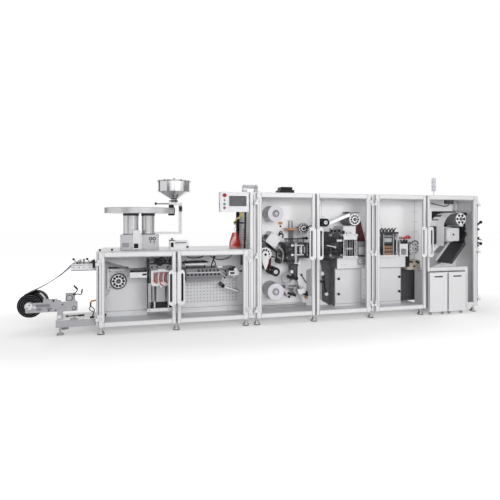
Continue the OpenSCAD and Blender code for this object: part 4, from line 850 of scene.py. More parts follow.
class BLISTER_OT_doors(bpy.types.Operator):
    """Six glazed doors with gaskets, corner blocks, joint lines and grip pads"""

    bl_idname = "blister.doors"
    bl_label = "Doors"

    def execute(self, context):
        for name, (edge_x, bay, top, way, handle_z) in DOORS.items():
            dressed(name + "_frame", "white_paint", 1.6, body=name)
            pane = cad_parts[name + "_glass"]
            pane.material_slots[0].material = finish("pane")
            self.trim(name, edge_x + way * 32, bay - 38, top, way, handle_z)
        return {"FINISHED"}

    def trim(self, name, start, w, top, way, handle_z):
        """Gaskets and fittings of one door, drawn from its hinge edge."""
        low, high = FOOT_H, top - 10
        stile, rail, cut_top, cut_w = 60, 50, 640, 610
        cut = name == "door_6"
        free = w - 42

        def across(x0, x1, y0, y1, z0, z1, edge=0.0):
            ends = sorted((start + way * x0, start + way * x1))
            form.block((ends[0], y0, z0), (ends[1], y1, z1), edge)

        form = Form(name + "_gasket", "grey_paint")
        strip = 7
        y0, y1 = PANE_Y - 5, PANE_Y
        across(stile, stile + strip, y0, y1, low + rail, high - rail)
        across(stile, free, y0, y1, high - rail - strip, high - rail)
        across(free - strip, free, y0, y1, (cut_top if cut else low + rail), high - rail)
        if cut:
            across(free - cut_w, free, y0, y1, cut_top, cut_top + strip)
            across(free - cut_w - strip, free - cut_w, y0, y1, low + rail, cut_top + strip)
            across(stile, free - cut_w, y0, y1, low + rail, low + rail + strip)
        else:
            across(stile, free, y0, y1, low + rail, low + rail + strip)
        form.use("black_plastic")
        across(free - 31, free - 1, PANE_Y - 1.6, PANE_Y, handle_z - 160, handle_z + 160)
        # Dark seals along both edges, joint lines of the rails and groove of the hinge stile
        across(w - 5, w, DOOR_Y - 0.6, DOOR_Y + 1, low + 2, high - 2)
        across(0, 7, DOOR_Y - 0.6, DOOR_Y + 1, low + 2, high - 2)
        for x in (stile, free):
            across(x - 0.8, x + 0.8, DOOR_Y - 0.4, DOOR_Y + 1, high - rail, high)
            if not cut:
                across(x - 0.8, x + 0.8, DOOR_Y - 0.4, DOOR_Y + 1, low, low + rail)
        form.use("grey_paint")
        across(26, 34, DOOR_Y - 0.6, DOOR_Y + 1, low + 70, high - 70)
        form.done(name)
        form = Form(name + "_fittings", "white_paint")
        for z in (low + 6, high - 66):
            across(3, 57, DOOR_Y - 3, DOOR_Y, z, z + 60, 2.0)
        form.use("brushed_steel")
        for z in (low + 6, high - 66):
            for x, lift in ((14, 14), (46, 46)):
                form.bolt((start + way * x, DOOR_Y - 3, z + lift), r=4.5)
        for z in (handle_z - 188, handle_z + 188):
            form.bolt((start + way * (w - 26), DOOR_Y - 20, z), FRONT, 5.5)
        form.done(name)


class BLISTER_OT_roof_items(bpy.types.Operator):
    """Roof vent with fins, and the signal beacon"""

    bl_idname = "blister.roof_items"
    bl_label = "Roof items"

    def execute(self, context):
        dressed("roof_vent", "black_plastic", 4.0)
        fins = Form("roof_vent_fins", "dark_metal")
        low, high = (2262, 302, 1640), (2458, 498, 1690)
        for step in range(6):
            z = low[2] + 4 + step * 8
            fins.block((low[0] - 4, low[1] - 4, z), (high[0] + 4, high[1] + 4, z + 2.5), 0.6)
        fins.done()
        dressed("signal_beacon", "white_paint", 1.5, [((4000, 0, 1716), (5084, 700, 1920), "foil")])
        bands = Form("signal_beacon_bands", "brushed_steel")
        for z in (1726, 1788, 1850):
            bands.washer(29.5, 31.5, -3, 3, (4690, 400, z))
        bands.done()
        return {"FINISHED"}


class BLISTER_OT_feeder(bpy.types.Operator):
    """Tablet feeder: boxes, polished columns, disc and brush box"""

    bl_idname = "blister.feeder"
    bl_label = "Feeder"

    def execute(self, context):
        dressed("feeder_base", "hammered_paint", 3.0, [
            ((0, 0, 1113.5), (900, 700, 1347), "column_steel"),
            ((0, 0, 1345), (900, 700, 1372), "dark_metal"), ((389, 0, 935), (498, 271, 1112), "light_paint")])
        dressed("feeder_disc", "disc_steel", 4.0)
        fittings = Form("feeder_fittings", "black_plastic")
        # White middle block with a dark window; vents, rings, knobs and screws of the boxes
        fittings.use("white_paint").block((384, 240, 935), (474, 271, 1168), 3)
        fittings.use("black_plastic").block((398, 238, 950), (450, 240.5, 1006), 1.5)
        for row in range(4):
            z = 965 + row * 14
            fittings.block((262, 248.6, z), (340, 250.6, z + 5), 0.0)
        for x in (592, 636):
            fittings.ring((x, 250, 1062), FRONT, 16, 5, 32)
            fittings.knob((x, 250, 1022), r=8)
        fittings.use("brushed_steel")
        fittings.bolts((252, 377, 512, 680), 250, (948, 1100))
        for x, r in ((359.4, 90), (562.4, 78)):
            fittings.use("rail_paint").ring((x, FEEDER_Y, 1119), UP, r + 1, 6)
            fittings.use("dark_metal").ring((x, FEEDER_Y, 1345), UP, r + 3, 3)
        # Rolled lips round the disc, and the boss in its middle
        fittings.use("rail_paint")
        for z in (1434, 1375):
            fittings.ring((FEEDER_X, FEEDER_Y, z), UP, 411.4, 3.5, 96)
        fittings.use("disc_steel")
        fittings.turned([(0, 0), (60, 0), (52, 18), (14, 26), (14, 40), (0, 42)], (FEEDER_X, FEEDER_Y, 1385))
        fittings.done()
        dressed("brush_box", "light_paint", 2.0, [
            ((815, 0, 949), (876, 400, 1044), "grey_paint"),
            ((874, 0, 949), (1052, 400, 1000), "white_paint")])
        brush = Form("brush_box_fittings", "black_plastic")
        brush.block((828, 106.6, 965), (862, 109, 1020), 1.0)
        brush.block((812, 105, 1040), (878, 300, 1047), 1.5)
        brush.block((884, 120, 1012), (1014, 128, 1020), 1.0)
        brush.knob((1030, 130, 950), UP, 14)
        brush.knob((846, 180, 1047), UP, 13)
        brush.use("brushed_steel")
        brush.bolts((826, 864), 107.5, (958, 1032), 4)
        brush.done()
        return {"FINISHED"}


class BLISTER_OT_hopper(bpy.types.Operator):
    """Hopper with its rim, lid, clamp, gate and stand"""

    bl_idname = "blister.hopper"
    bl_label = "Hopper"

    def execute(self, context):
        dressed("hopper", "hopper_steel", 1.5)
        dressed("hopper_lid", "hopper_steel", 1.5, least=25)
        dressed("hopper_stand", "light_paint", 2.5, [
            ((936, 288, 1398), (978, 331, 1466), "dark_metal"),
            ((640, 290, 1470), (850, 420, 1520), "brushed_steel")])
        trim = Form("hopper_fittings", "black_plastic")
        x, y, neck = 879, 350, 1509
        trim.turned([(36, 0), (47, 0), (49, 3), (49, 12), (47, 15), (36, 15), (36, 0)], (x, y, neck + 12))
        trim.block((x - 62, y - 10, neck + 12), (x - 44, y + 10, neck + 27), 2)
        for side in (-34, 34):
            trim.ball((x - 224, y + side, neck - 15), 15)
        trim.knob((957, 288, 1432), r=13)
        # Vibrator and outlet that hang from the gate
        trim.block((812, 296, 1442), (876, 330, 1480), 4)
        trim.block((850, 300, 1372), (888, 330, 1444), 4)
        trim.block((806, 300, 1346), (884, 330, 1374), 4)
        trim.post((845, 313), 1478, 1484, 16)
        trim.use("rail_paint")
        trim.ring((x, y, neck + 40), UP, 35, 2.5)
        trim.ring((x, y, neck + 134), UP, 199.5, 2.0, 96)
        trim.ring((x, y, 1770), UP, 203, 4.0, 96)
        trim.bolts((957,), 330, (1140, 1300, 1440), 5)
        trim.use("grey_paint").block((950, 328, 1150), (956, 331, 1390), 1)
        trim.use("rail_paint")
        # Vertical seam of the drum and three rim clips
        trim.block((x - 3, y - 200.5, neck + 138), (x + 3, y - 198, 1766), 0.8)
        for turn in (-2.2, -1.2, 0.4):
            trim.block((x + 205 * math.cos(turn) - 8, y + 205 * math.sin(turn) - 8, 1762),
                       (x + 205 * math.cos(turn) + 8, y + 205 * math.sin(turn) + 8, 1788), 3)
        trim.done()
        return {"FINISHED"}


class BLISTER_OT_console(bpy.types.Operator):
    """Operator console: screen, buttons, pipe joints, conduit and fittings"""

    bl_idname = "blister.console"
    bl_label = "Console"

    def execute(self, context):
        dressed("operator_console", "light_paint", 2.5, [((1670, -5, 1634), (1900, 120, 1760), "grey_paint")])
        trim = Form("console_fittings", "screen")
        trim.block((1525, 2.5, 1464), (1727, 8, 1576), 0.8)
        trim.use("rail_paint")
        for low, high in (((1520, 0, 1458), (1732, 4, 1463)), ((1520, 0, 1577), (1732, 4, 1582)),
                          ((1519, 0, 1458), (1524, 4, 1582)), ((1728, 0, 1458), (1733, 4, 1582))):
            trim.block(low, high, 0.0)
        face, x = 6, 1462
        stop_z, key_z, start_z, reset_z = 1588, 1530, 1483, 1435
        trim.use("brushed_steel")
        for z, r in ((stop_z, 24), (start_z, 17), (reset_z, 17)):
            trim.boss(r, 3, r * 0.8, 5, (x, face, z), FRONT, 28)
        trim.use("stop_red").turned([(0, 4), (12, 4), (12, 14), (22, 18), (23, 24), (19, 29), (0, 31)],
                                    (x, face, stop_z), FRONT, 36)
        for finish_name, z in (("stop_red", reset_z), ("teal_plastic", start_z)):
            trim.use(finish_name).turned([(0, 4), (13, 4), (13, 9), (11, 11), (0, 11)],
                                         (x, face, z), FRONT, 28)
        trim.use("black_plastic").disc(9, 6, (x, face, key_z), FRONT, 24)
        trim.block((x - 2, face - 14, key_z - 8), (x + 2, face - 5, key_z + 8), 0.8)
        for row in range(5):
            trim.block((1408, 40, 1440 + row * 16), (1410, 90, 1446 + row * 16), 0.0)
        trim.use("brushed_steel")
        trim.bolts((1420, 1752), face, (1400, 1622), 4.5)
        trim.use("light_paint").post((1720, 55), 1634, 1690, 30, edge=4, sides=36)
        trim.use("rail_paint")
        for ring_x in (1720, 1864):
            trim.ring((ring_x, 55, 1690), UP, 26, 4)
        trim.done()
        dressed("cable_conduit", "black_plastic", 1.5)
        ribs = Form("conduit_ribs", "black_plastic")
        for step in range(30):
            ribs.ring((1750, 604, 970 + step * 14), UP, 24, 2.4, 24)
        ribs.tube([(1742, 100, 1390), (1744, 108, 1340), (1746, 128, 1200), (1746, 140, 1060),
                   (1742, 150, 936)], 13)
        hose_x, hose_y = 1664, 360
        ribs.use("brushed_steel")
        ribs.turned([(0, 0), (22, 0), (22, 10), (17, 14), (17, 30), (0, 30)], (hose_x, hose_y, 1236))
        ribs.washer(10, 14, 0, 6, (hose_x, hose_y, 1230))
        ribs.use("yellow_plastic")
        ribs.tube([(1690, 96, 1390), (1690, 100, 1372), (1688, 180, 1326), (1672, 320, 1296),
                   (hose_x, 356, 1266)], 12)
        ribs.done()
        return {"FINISHED"}


class BLISTER_OT_unwinder(bpy.types.Operator):
    """Film unwinder: beam, arm, brake, roll and splice table"""

    bl_idname = "blister.unwinder"
    bl_label = "Unwinder"

    def execute(self, context):
        # The beam's top face, Z 170 to 180, is in the bright colour: painted light
        dressed("unwinder_beam", "grey_paint", 3.0, [((-1000, -100, 170), (200, 800, 180), "painted_light")])
        dressed("unwinder_arm", "grey_paint", 2.5)
        dressed("splice_table", "light_paint", 2.0)
        self.roll()
        trim = Form("unwinder_fittings", "white_paint")
        front = 68
        # Hub flange, stepped bars on the arm, blocks and the brake's round face
        trim.turned([(0, 0), (38, 0), (38, 6), (30, 12), (16, 12), (14, 8), (0, 8)],
                    (REEL_X, 51, REEL_Z), FRONT, 48)
        trim.block((-668, 58, 316), (-628, front, 344), 3)
        trim.block((-420, 40, 194), (-370, front, 232), 4)
        trim.use("rail_paint")
        trim.block((-632, 56, 330), (-492, front, 356), 3)
        trim.prism([(-640, 300), (-600, 318), (-560, 300), (-600, 286)], 60, front, 2)
        trim.block((-520, 58, 296), (-470, front, 316), 3)
        trim.use("grey_paint")
        trim.block((-528, 62, 372), (-382, 92, 396), 3)
        trim.block((-400, 58, 300), (-330, front, 322), 3)
        trim.use("dark_metal")
        trim.bolt((-690, 39, 360), r=6)
        trim.bolt((-712, 39, 326), r=6)
        for x, z in ((-640, 340), (-540, 340), (-500, 286), (-360, 344), (-430, 286)):
            trim.bolt((x, front, z), r=8)
        trim.use("brushed_steel")
        trim.turned([(0, 0), (30, 0), (30, 10), (24, 16), (12, 16), (10, 10), (0, 10)],
                    (-283, 44, 420), FRONT, 40)
        trim.boss(18, 8, 12, 12, (-240, front, 300), FRONT, 32)
        trim.block((-330, 60, 366), (-222, front, 390), 3)
        trim.use("black_plastic")
        trim.ring((-283, 36, 420), FRONT, 30, 3)
        trim.ring((-240, 62, 300), FRONT, 19, 3)
        trim.knob((-453, 62, 380), UP, 12)
        # Bent brake levers and the tie rod under the arm
        trim.tube([(-250, 60, 448), (-222, 58, 476), (-204, 56, 514), (-240, 54, 556)], 6)
        trim.rod((-206, 56, 512), (-242, 54, 558), 9, edge=3)
        trim.tube([(-233, 60, 452), (-200, 58, 458), (-168, 56, 452), (-152, 56, 508)], 6)
        trim.rod((-162, 56, 470), (-151, 56, 512), 8, edge=2)
        trim.rod((-322, 62, 214), (-140, 60, 216), 6)
        trim.rod((-326, 62, 214), (-296, 62, 214), 10, edge=3)
        trim.rod((-200, 60, 216), (-130, 60, 217), 11, edge=3)
        trim.use("grey_paint").boss(42, 6, 14, 14, (-240, 66, 176))
        trim.post((-240, 66), 176, 226, 9)
        # Brake shoe beside the roll
        trim.use("light_paint").strip([(-552, 372), (-566, 420), (-590, 452), (-612, 470)], 120, 170, 4)
        trim.block((-566, 92, 360), (-536, 170, 384), 2)
        # Clamp levers of the splice table and the dark edge by the slot
        trim.use("black_plastic")
        for x in (-240, -96):
            trim.ball((x - 8, 74, 848), 13)
            trim.block((x + 14, 78, 796), (x + 34, 110, 812), 2)
        trim.block((-44, 58, 744), (-20, 90, 836), 4)
        trim.tube([(-66, 74, 800), (-52, 70, 820), (-44, 70, 830)], 6)
        trim.use("rail_paint")
        for x in (-240, -96):
            trim.rod((x + 26, 90, 800), (x - 6, 74, 846), 5)
        trim.post((-142, 100), 792, 838, 9, edge=2)
        trim.post((-142, 100), 836, 848, 13, edge=3)
        trim.block((-276, 78, 716), (-6, 81, 724), 1)
        trim.block((-276, 78, 776), (-6, 81, 780), 1)
        trim.use("dark_metal")
        trim.bolts((-250, -190, -140, -80, -30), 81, (752,), 5)
        # Pipe and wires beside the beam
        trim.use("amber").tube([(-68, 92, 352), (-56, 90, 366), (-34, 88, 370), (0, 88, 372)], 10)
        trim.use("dark_metal").tube([(-68, 92, 354), (-70, 92, 330), (-70, 92, 300)], 9)
        trim.tube([(-70, 92, 304), (-84, 94, 280), (-64, 96, 252), (-40, 94, 240), (-42, 92, 206),
                   (-66, 92, 180)], 5)
        trim.tube([(-70, 92, 304), (-48, 96, 290), (-32, 96, 268), (-34, 92, 232), (-48, 92, 200),
                   (-44, 92, 178)], 5)
        trim.use("black_plastic").block((-76, 80, 174), (-30, 110, 190), 3)
        trim.done()
        return {"FINISHED"}

    def roll(self):
        """Wound black film on a dark core, with a steel hub."""
        low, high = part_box("film_roll")
        r = (high.z - low.z) / 2 * MM
        place = (REEL_X, FILM_Y, REEL_Z)
        roll = Form("film_roll_wound", "film_black")
        roll.turned([(52, 0), (r - 1, 0), (r, -1), (r, 1 - FILM_W), (r - 1, -FILM_W), (52, -FILM_W), (52, 0)],
                    place, FRONT, 96)
        roll.use("rail_paint")
        for ring_r in (70, 92, 114):
            roll.turned([(ring_r, 0.1), (ring_r + 1, 0.5), (ring_r + 2, 0.1), (ring_r + 1, -0.5),
                         (ring_r, 0.1)], place, FRONT, 96)
        roll.use("dark_metal")
        roll.turned([(CORE_R, -1), (40, -1), (40, 3), (44, 3), (52, 0.6), (52, -FILM_W), (CORE_R, -FILM_W),
                     (CORE_R, -1)], place, FRONT, 64)
        roll.use("brushed_steel").washer(ROLL_BORE, CORE_R, 0, -FILM_W, place, FRONT, 48)
        roll.done("film_reel", ("film_roll",))


class BLISTER_OT_film_runs(bpy.types.Operator):
    """Film between the wheels and through the stations"""

    bl_idname = "blister.film_runs"
    bl_label = "Film runs"

    def execute(self, context):
        # The web between X 2840 and 3220 is in the bright colour: painted light on film that the roof shades
        dressed("film_web", "film", 0.0, [
            ((-760, 0, 480), (-300, 400, 780), None), ((2560, 0, 930), (2860, 400, 960), "film_red"),
            ((2840, 0, 1200), (3220, 400, 1420), "painted_light"),
            ((3240, 0, 1000), (3420, 400, 1360), "film_red")])
        runs = Form("printed_film_runs", "film_red")
        runs.strip([(2080, 846), (2074, 760), (2070, 690), (2076, 646)], FILM_Y - 6, FILM_BACK, 1.5)
        runs.strip([(2246, 404), (2262, 372), (2284, 330), (2300, 300)], FILM_Y + 20, FILM_BACK - 60, 1.5)
        # Film that sags from the roll to the splice table
        runs.use("dark_metal").strip([(-758, 468), (-680, 500), (-600, 540), (-520, 586), (-440, 640),
                                      (-360, 706), (-300, 764), (-276, 792)], FILM_Y, FILM_BACK, 7)
        # Strip from the roller up to the scrap wheel, in the bright colour: painted light on the film
        runs.use("painted_light").prism([(2852, 1220), (2864, 1262), (3156, 1380), (3170, 1341)], FILM_Y - 6,
                                      FILM_Y - 3, 0.0)
        runs.use("film_black")
        runs.strip([(1900, 962), (1960, 984), (2040, 972), (2110, 930), (2190, 874), (2252, 850)],
                   FILM_Y + 30, FILM_BACK - 30, 2.0)
        runs.done()
        return {"FINISHED"}


class BLISTER_OT_wheels(bpy.types.Operator):
    """Guide wheels, rollers and the dancer"""

    bl_idname = "blister.wheels"
    bl_label = "Wheels and rollers"

    def execute(self, context):
        dressed("guide_wheels", "rail_paint", 1.2, [
            ((4790, 80, 1210), (4980, 112, 1400), "light_paint"),
            ((1900, 80, 770), (2090, 112, 950), "light_paint"),
            ((3140, 80, 1210), (3320, 112, 1385), "light_paint")])
        faces = Form("guide_wheel_faces", "light_paint")
        # Wheels: middle in X and Z, radius, front and hub faces, holes and their share of the radius
        for x, z, r, front, hub, holes, share in (
                (217, 550, 93, 300, 294, 10, 0.175), (2532, 1179, 72, 140, 138, 10, 0.19),
                (1995, 862, 83, 84, 78, 10, 0.175), (3232, 1297, 80, 84, 78, 10, 0.175),
                (4890, 1304, 87, 84, 78, 6, 0.23)):
            # Pale web with a ring of dark holes, dark hub and its nut
            faces.use("plate_paint").washer(r * 0.2, r * 0.85, 0, 1.5, (x, front + 4, z), FRONT)
            faces.use("black_plastic")
            for turn in range(holes):
                angle = math.tau * turn / holes
                faces.disc(r * share, 0.8, (x + r * 0.63 * math.cos(angle), front + 2.5,
                                            z + r * 0.63 * math.sin(angle)), FRONT, 20)
            faces.use("dark_metal").boss(r * 0.22, 4, r * 0.16, 6, (x, hub, z), FRONT, 24)
            faces.use("brushed_steel").bolt((x, hub - 6, z), r=r * 0.09)
        faces.use("black_plastic").washer(83.5, 93.6, 0, -30, (217, 299.4, 550), FRONT, 72)
        faces.done()
        dressed("web_guides", "light_paint", 1.5, [
            ((2070, 80, 570), (2200, 375, 700), "rubber"), ((2750, 80, 1200), (2880, 375, 1312), "rubber"),
            ((1440, 100, 430), (1505, PLATE_Y, 500), "black_plastic"),
            ((1440, 100, 380), (1700, 200, 500), "rail_paint"),
            ((2380, 300, 1140), (2480, PLATE_Y, 1182), "copper"),
            ((2380, 300, 990), (2480, PLATE_Y, 1142), "rail_paint")])
        trim = Form("roller_fittings", "white_paint")
        for x, z, r in ((2134, 632, 56), (2815, 1257, 53)):
            trim.use("white_paint").boss(r * 0.46, 3, r * 0.4, 5, (x, 84, z), FRONT)
            trim.use("dark_metal").bolt((x, 79, z), r=8)
        trim.use("black_plastic").ball((1472, 168, 466), 24)
        trim.use("brushed_steel").bolt((1670, 172, 395), r=11)
        trim.use("light_paint").tube([(1472, 164, 466), (1540, 158, 440), (1640, 160, 404),
                                      (1768, 172, 356)], 12)
        # Drive box: cover, screws, and the motor behind its left corner
        box_x, box_face, box_z, tilt = 2122.5, 147.5, 1034, math.radians(38)
        trim.use("rail_paint")
        for u, v in ((-60, -60), (60, -60), (-60, 60), (60, 60)):
            x = box_x + u * math.cos(tilt) + v * math.sin(tilt)
            z = box_z - u * math.sin(tilt) + v * math.cos(tilt)
            trim.bolt((x, box_face, z), r=5)
        trim.use("dark_metal").rod((2075, 250, 1062), (1960, 250, 1040), 44, edge=4, sides=40)
        trim.rod((1960, 250, 1040), (1935, 250, 1035), 36, edge=3, sides=32)
        trim.use("light_paint").rod((2005, 252, 1048), (2015, 252, 1050), 46, sides=40)
        trim.use("black_plastic")
        trim.tube([(2200, 170, 1090), (2236, 168, 1112), (2258, 166, 1086), (2248, 168, 1058)], 9)
        trim.tube([(2205, 200, 1080), (2230, 200, 1140), (2262, 220, 1128), (2272, PLATE_Y, 1110)], 6)
        # Tension bracket: copper bar, upright pins and a sensor on the plate
        trim.use("copper").block((2330, 150, 1156), (2450, 331, 1186), 3)
        trim.use("brushed_steel")
        for x in (2404, 2448):
            trim.post((x, 352), 1176, 1280, 7)
        trim.use("light_paint").block((2392, 340, 1272), (2460, 366, 1292), 2)
        trim.use("amber").block((2266, 352, 1232), (2310, PLATE_Y, 1264), 2)
        trim.use("black_plastic").stud((2288, 366, 1206), 12, edge=2)
        trim.prism([(2524, 1170), (2536, 1166), (2640, 1218), (2634, 1230)], 128, 140)
        trim.rod((2532, 128, 1172), (2532, 145, 1172), 13, edge=2)
        trim.stud((2612, 250, 1048), 10)
        trim.rod((2612, 236, 1036), (2612, 252, 1062), 21, 16, edge=4)
        trim.stud((1945, 150, 1448), 12)
        trim.block((1922, 140, 1440), (1966, 168, 1462), 3)
        trim.done()
        return {"FINISHED"}


class BLISTER_OT_rolls(bpy.types.Operator):
    """Upper and lower foil rolls on their shafts"""

    bl_idname = "blister.rolls"
    bl_label = "Foil rolls"

    def execute(self, context):
        dressed("roll_shafts", "turned_steel", 1.0)
        for item, body in (("upper_foil_roll", "upper_foil_reel"), ("lower_foil_roll", "lower_foil_reel")):
            low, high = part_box(item)
            z, r = (low.z + high.z) / 2 * MM, (high.z - low.z) / 2 * MM
            lip = 8
            place = (FOIL_ROLL_X, FILM_Y, z)
            roll = Form(item + "_wound", "foil")
            roll.turned([(46, 0), (r - 1, 0), (r, -1), (r, -lip), (46, -lip), (46, 0)], place, FRONT, 96)
            # The roll's side and back face in a grey copy of the foil: painted shade on the side away from
            # the light
            roll.use("foil_side_painted_shade").turned([(46, -lip), (r, -lip), (r, 1 - FILM_W), (r - 1, -FILM_W),
                                          (46, -FILM_W), (46, -lip)], place, FRONT, 96)
            roll.use("rail_paint")
            roll.turned([(CORE_R, -2), (40, -2), (41, 3), (46, 0.5), (46, -FILM_W), (CORE_R, -FILM_W),
                         (CORE_R, -2)], place, FRONT, 64)
            roll.use("brushed_steel").washer(ROLL_BORE, CORE_R, 0, -FILM_W, place, FRONT)
            roll.done(body, (item,))
        ends = Form("shaft_ends", "foil")
        for item in ("upper_foil_roll", "lower_foil_roll"):
            low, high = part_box(item)
            ends.boss(18, 5, 14, 9, (FOIL_ROLL_X, 86, (low.z + high.z) / 2 * MM), FRONT, 28)
        ends.done()
        return {"FINISHED"}


class BLISTER_OT_forming_bay(bpy.types.Operator):
    """Forming station, guide box, wheel guard and their tubes"""

    bl_idname = "blister.forming_bay"
    bl_label = "Forming bay"

    def execute(self, context):
        dressed("wheel_guard", "white_paint", 2.0)
        dressed("forming_station", "white_paint", 2.5, [
            ((580, 50, 702), (880, TO_PLATE, 812), "rail_paint"),
            ((600, 50, 250), (820, TO_PLATE, 512), "grey_paint")])
        trim = Form("forming_fittings", "black_plastic")
        # Guard strip and screws, black top of the guide bar, black post
        trim.block((100, 300, 706), (330, 322, 722), 3)
        trim.use("dark_metal")
        for x, z in ((298, 676), (114, 676), (114, 480)):
            trim.bolt((x, 310, z))
        trim.use("black_plastic")
        trim.block((362, 56, 682), (552, 66, 704), 2)
        trim.block((552, DIE_Y, 548), (578, 92, 826), 3)
        trim.post((560, 66), 826, 846, 15, edge=4)
        trim.block((500, DIE_Y, 640), (552, 72, 668), 3)
        # Upper mechanism: drive bar, round cams, springs and small knobs
        trim.block((592, 42, 770), (866, 64, 788), 3)
        for x, r in ((648, 20), (700, 40), (764, 18), (826, 30)):
            trim.turned([(0, 0), (r, 0), (r, 16), (r * 0.82, 24), (r * 0.5, 24), (r * 0.42, 18), (0, 18)],
                        (x, 48, 792), FRONT, 40)
        trim.tube([(660, 40, 800), (690, 34, 842), (740, 34, 836), (770, 40, 800)], 7)
        trim.tube([(812, 40, 800), (822, 36, 848), (850, 40, 836)], 7)
        for x in (610, 668, 792, 850):
            trim.knob((x, DIE_Y, 736), r=11)
        trim.use("brushed_steel")
        for x in (620, 727, 790):
            trim.spring((x, 110, 804), 13, 2.2, 6, 52, 6, 76)
        trim.bolts((606, 655, 725, 795, 848), DIE_Y, (714,), 5)
        # White body with red tubes bent like a C, and its fittings
        trim.use("white_paint")
        trim.block((676, 44, 684), (766, DIE_Y, 712), 3)
        trim.post((714, 50), 500, 522, 16, edge=3)
        trim.block((600, 50, 526), (622, DIE_Y, 700), 3)
        trim.use("rail_paint").block((630, 56, 560), (800, DIE_Y, 676), 2)
        trim.use("red_plastic")
        for x, low, high in ((652, 548, 662), (716, 522, 672), (770, 552, 660)):
            trim.tube([(x + 22, 57, high), (x + 2, 40, high - 8), (x - 14, 32, (high + low) / 2 + 20),
                       (x - 14, 32, (high + low) / 2 - 20), (x + 2, 40, low + 8), (x + 22, 57, low)], 5.5)
        trim.use("white_paint")
        for x in (690, 745, 796):
            trim.tube([(x, 58, 664), (x - 6, 42, 630), (x - 6, 42, 590), (x, 58, 556)], 7)
        trim.use("amber").tube([(640, 58, 600), (660, 46, 584), (690, 58, 560)], 5)
        # Column faces, dark slot and foot beam below
        trim.use("grey_paint").block((566, 64, 326), (600, PLATE_Y, 548), 2)
        trim.use("black_plastic").block((556, 60, 252), (566, 66, 548), 1)
        trim.block((596, 84, 252), (838, 100, 322), 2)
        trim.use("rail_paint").block((820, 100, 326), (842, PLATE_Y, 512), 2)
        trim.use("white_paint").block((556, 54, 216), (872, DIE_Y, 252), 2)
        for x in (640, 800):
            trim.post((x, 78), 252, 330, 9)
        trim.use("dark_metal")
        trim.bolts((580, 690, 800, 860), 54, (233,), 5)
        # Bent guide rod below the guard and blocks on the ledge
        trim.use("rail_paint").strip([(114, 460), (112, 430), (96, 396), (66, 372), (30, 360)], 318, 340, 3)
        trim.use("white_paint")
        for x in (396, 1560):
            trim.block((x, 300, PAN), (x + 26, 330, 186), 2)
        trim.use("black_plastic").knob((60, 300, 160), r=22)
        # Blocks that fill the gap under the plate, in the darker plate colour: painted shade
        trim.use("plate_in_painted_shade").block((56, 330, PAN), (556, 379, 178), 1)
        trim.block((900, 330, PAN), (1770, 379, 178), 1)
        trim.done()
        return {"FINISHED"}


class BLISTER_OT_cooling_bay(bpy.types.Operator):
    """Cooling rail with its rows of plugs, the perforated panel and cables"""

    bl_idname = "blister.cooling_bay"
    bl_label = "Cooling bay"

    def execute(self, context):
        dressed("cooling_rail", "rail_paint", 2.0, [((1439, 50, 550), (1800, TO_PLATE, 720), "white_paint")])
        dressed("perforated_panel", "perforated_sheet", 1.5)
        trim = Form("cooling_fittings", "black_plastic")
        for row, first, count in ((676, 1160, 6), (628, 1030, 9)):
            for step in range(count):
                trim.use("dark_metal").ring((first + step * 47, 90, row), FRONT, 13, 2.5, 24)
                trim.use("black_plastic").disc(12, 2, (first + step * 47, 90, row), FRONT, 20)
        trim.use("light_paint").block((1012, 80, 648), (1436, 90, 656), 1)
        trim.use("white_paint").block((1000, 150, 736), (1274, 190, 758), 3)
        trim.block((1391, 120, 699), (1456, 170, 726), 3)
        trim.use("black_plastic")
        # Swing lever, clamp streak and the rods that carry them
        trim.prism([(940, 774), (1110, 790), (1250, 786), (1310, 764), (1250, 762), (960, 760)], 190, 230)
        for x in (1020, 1240):
            trim.stud((x, 230, 772), 9)
            trim.post((x, 170), 700, 738, 7)
        trim.tube([(1320, 150, 704), (1330, 150, 752), (1348, 148, 800), (1356, 146, 826)], 8)
        trim.ball((1358, 146, 834), 14)
        trim.tube([(1340, 150, 704), (1374, 150, 740), (1362, 150, 776), (1340, 150, 800)], 6)
        # Outfeed bracket, its dark clamp and ball grips
        trim.use("light_paint").block((1532, 100, 606), (1664, 344, 660), 3)
        trim.use("black_plastic").block((1548, 94, 622), (1604, 100, 646), 2)
        trim.use("grey_paint")
        trim.prism([(1570, 606), (1626, 606), (1606, 574), (1590, 574)], 100, 130)
        trim.use("black_plastic").block((1556, 110, 660), (1650, 200, 686), 3)
        trim.post((1604, 150), 688, 712, 18, edge=4)
        trim.tube([(1540, 160, 666), (1560, 150, 694), (1590, 150, 700)], 6)
        trim.rod((1664, 110, 655), (1684, 110, 655), 8)
        trim.ball((1690, 110, 655), 13)
        for x, z in ((1490, 660), (1504, 612), (1480, 580)):
            trim.ball((x, 100, z), 11)
            trim.rod((x, 100, z), (x, 340, z), 5)
        # Cables that hang on the plate above the rail
        trim.tube([(1010, 374, 860), (1060, 366, 820), (1140, 362, 806), (1230, 366, 820),
                   (1290, 374, 870)], 6)
        trim.tube([(1290, 374, 880), (1380, 364, 800), (1480, 362, 780), (1580, 366, 800),
                   (1660, 374, 880)], 6)
        # Dark block in the corner by the side wall: painted shade
        trim.use("painted_shade").block((1740, 330, 700), (1772, 379, 905), 2)
        trim.done()
        return {"FINISHED"}


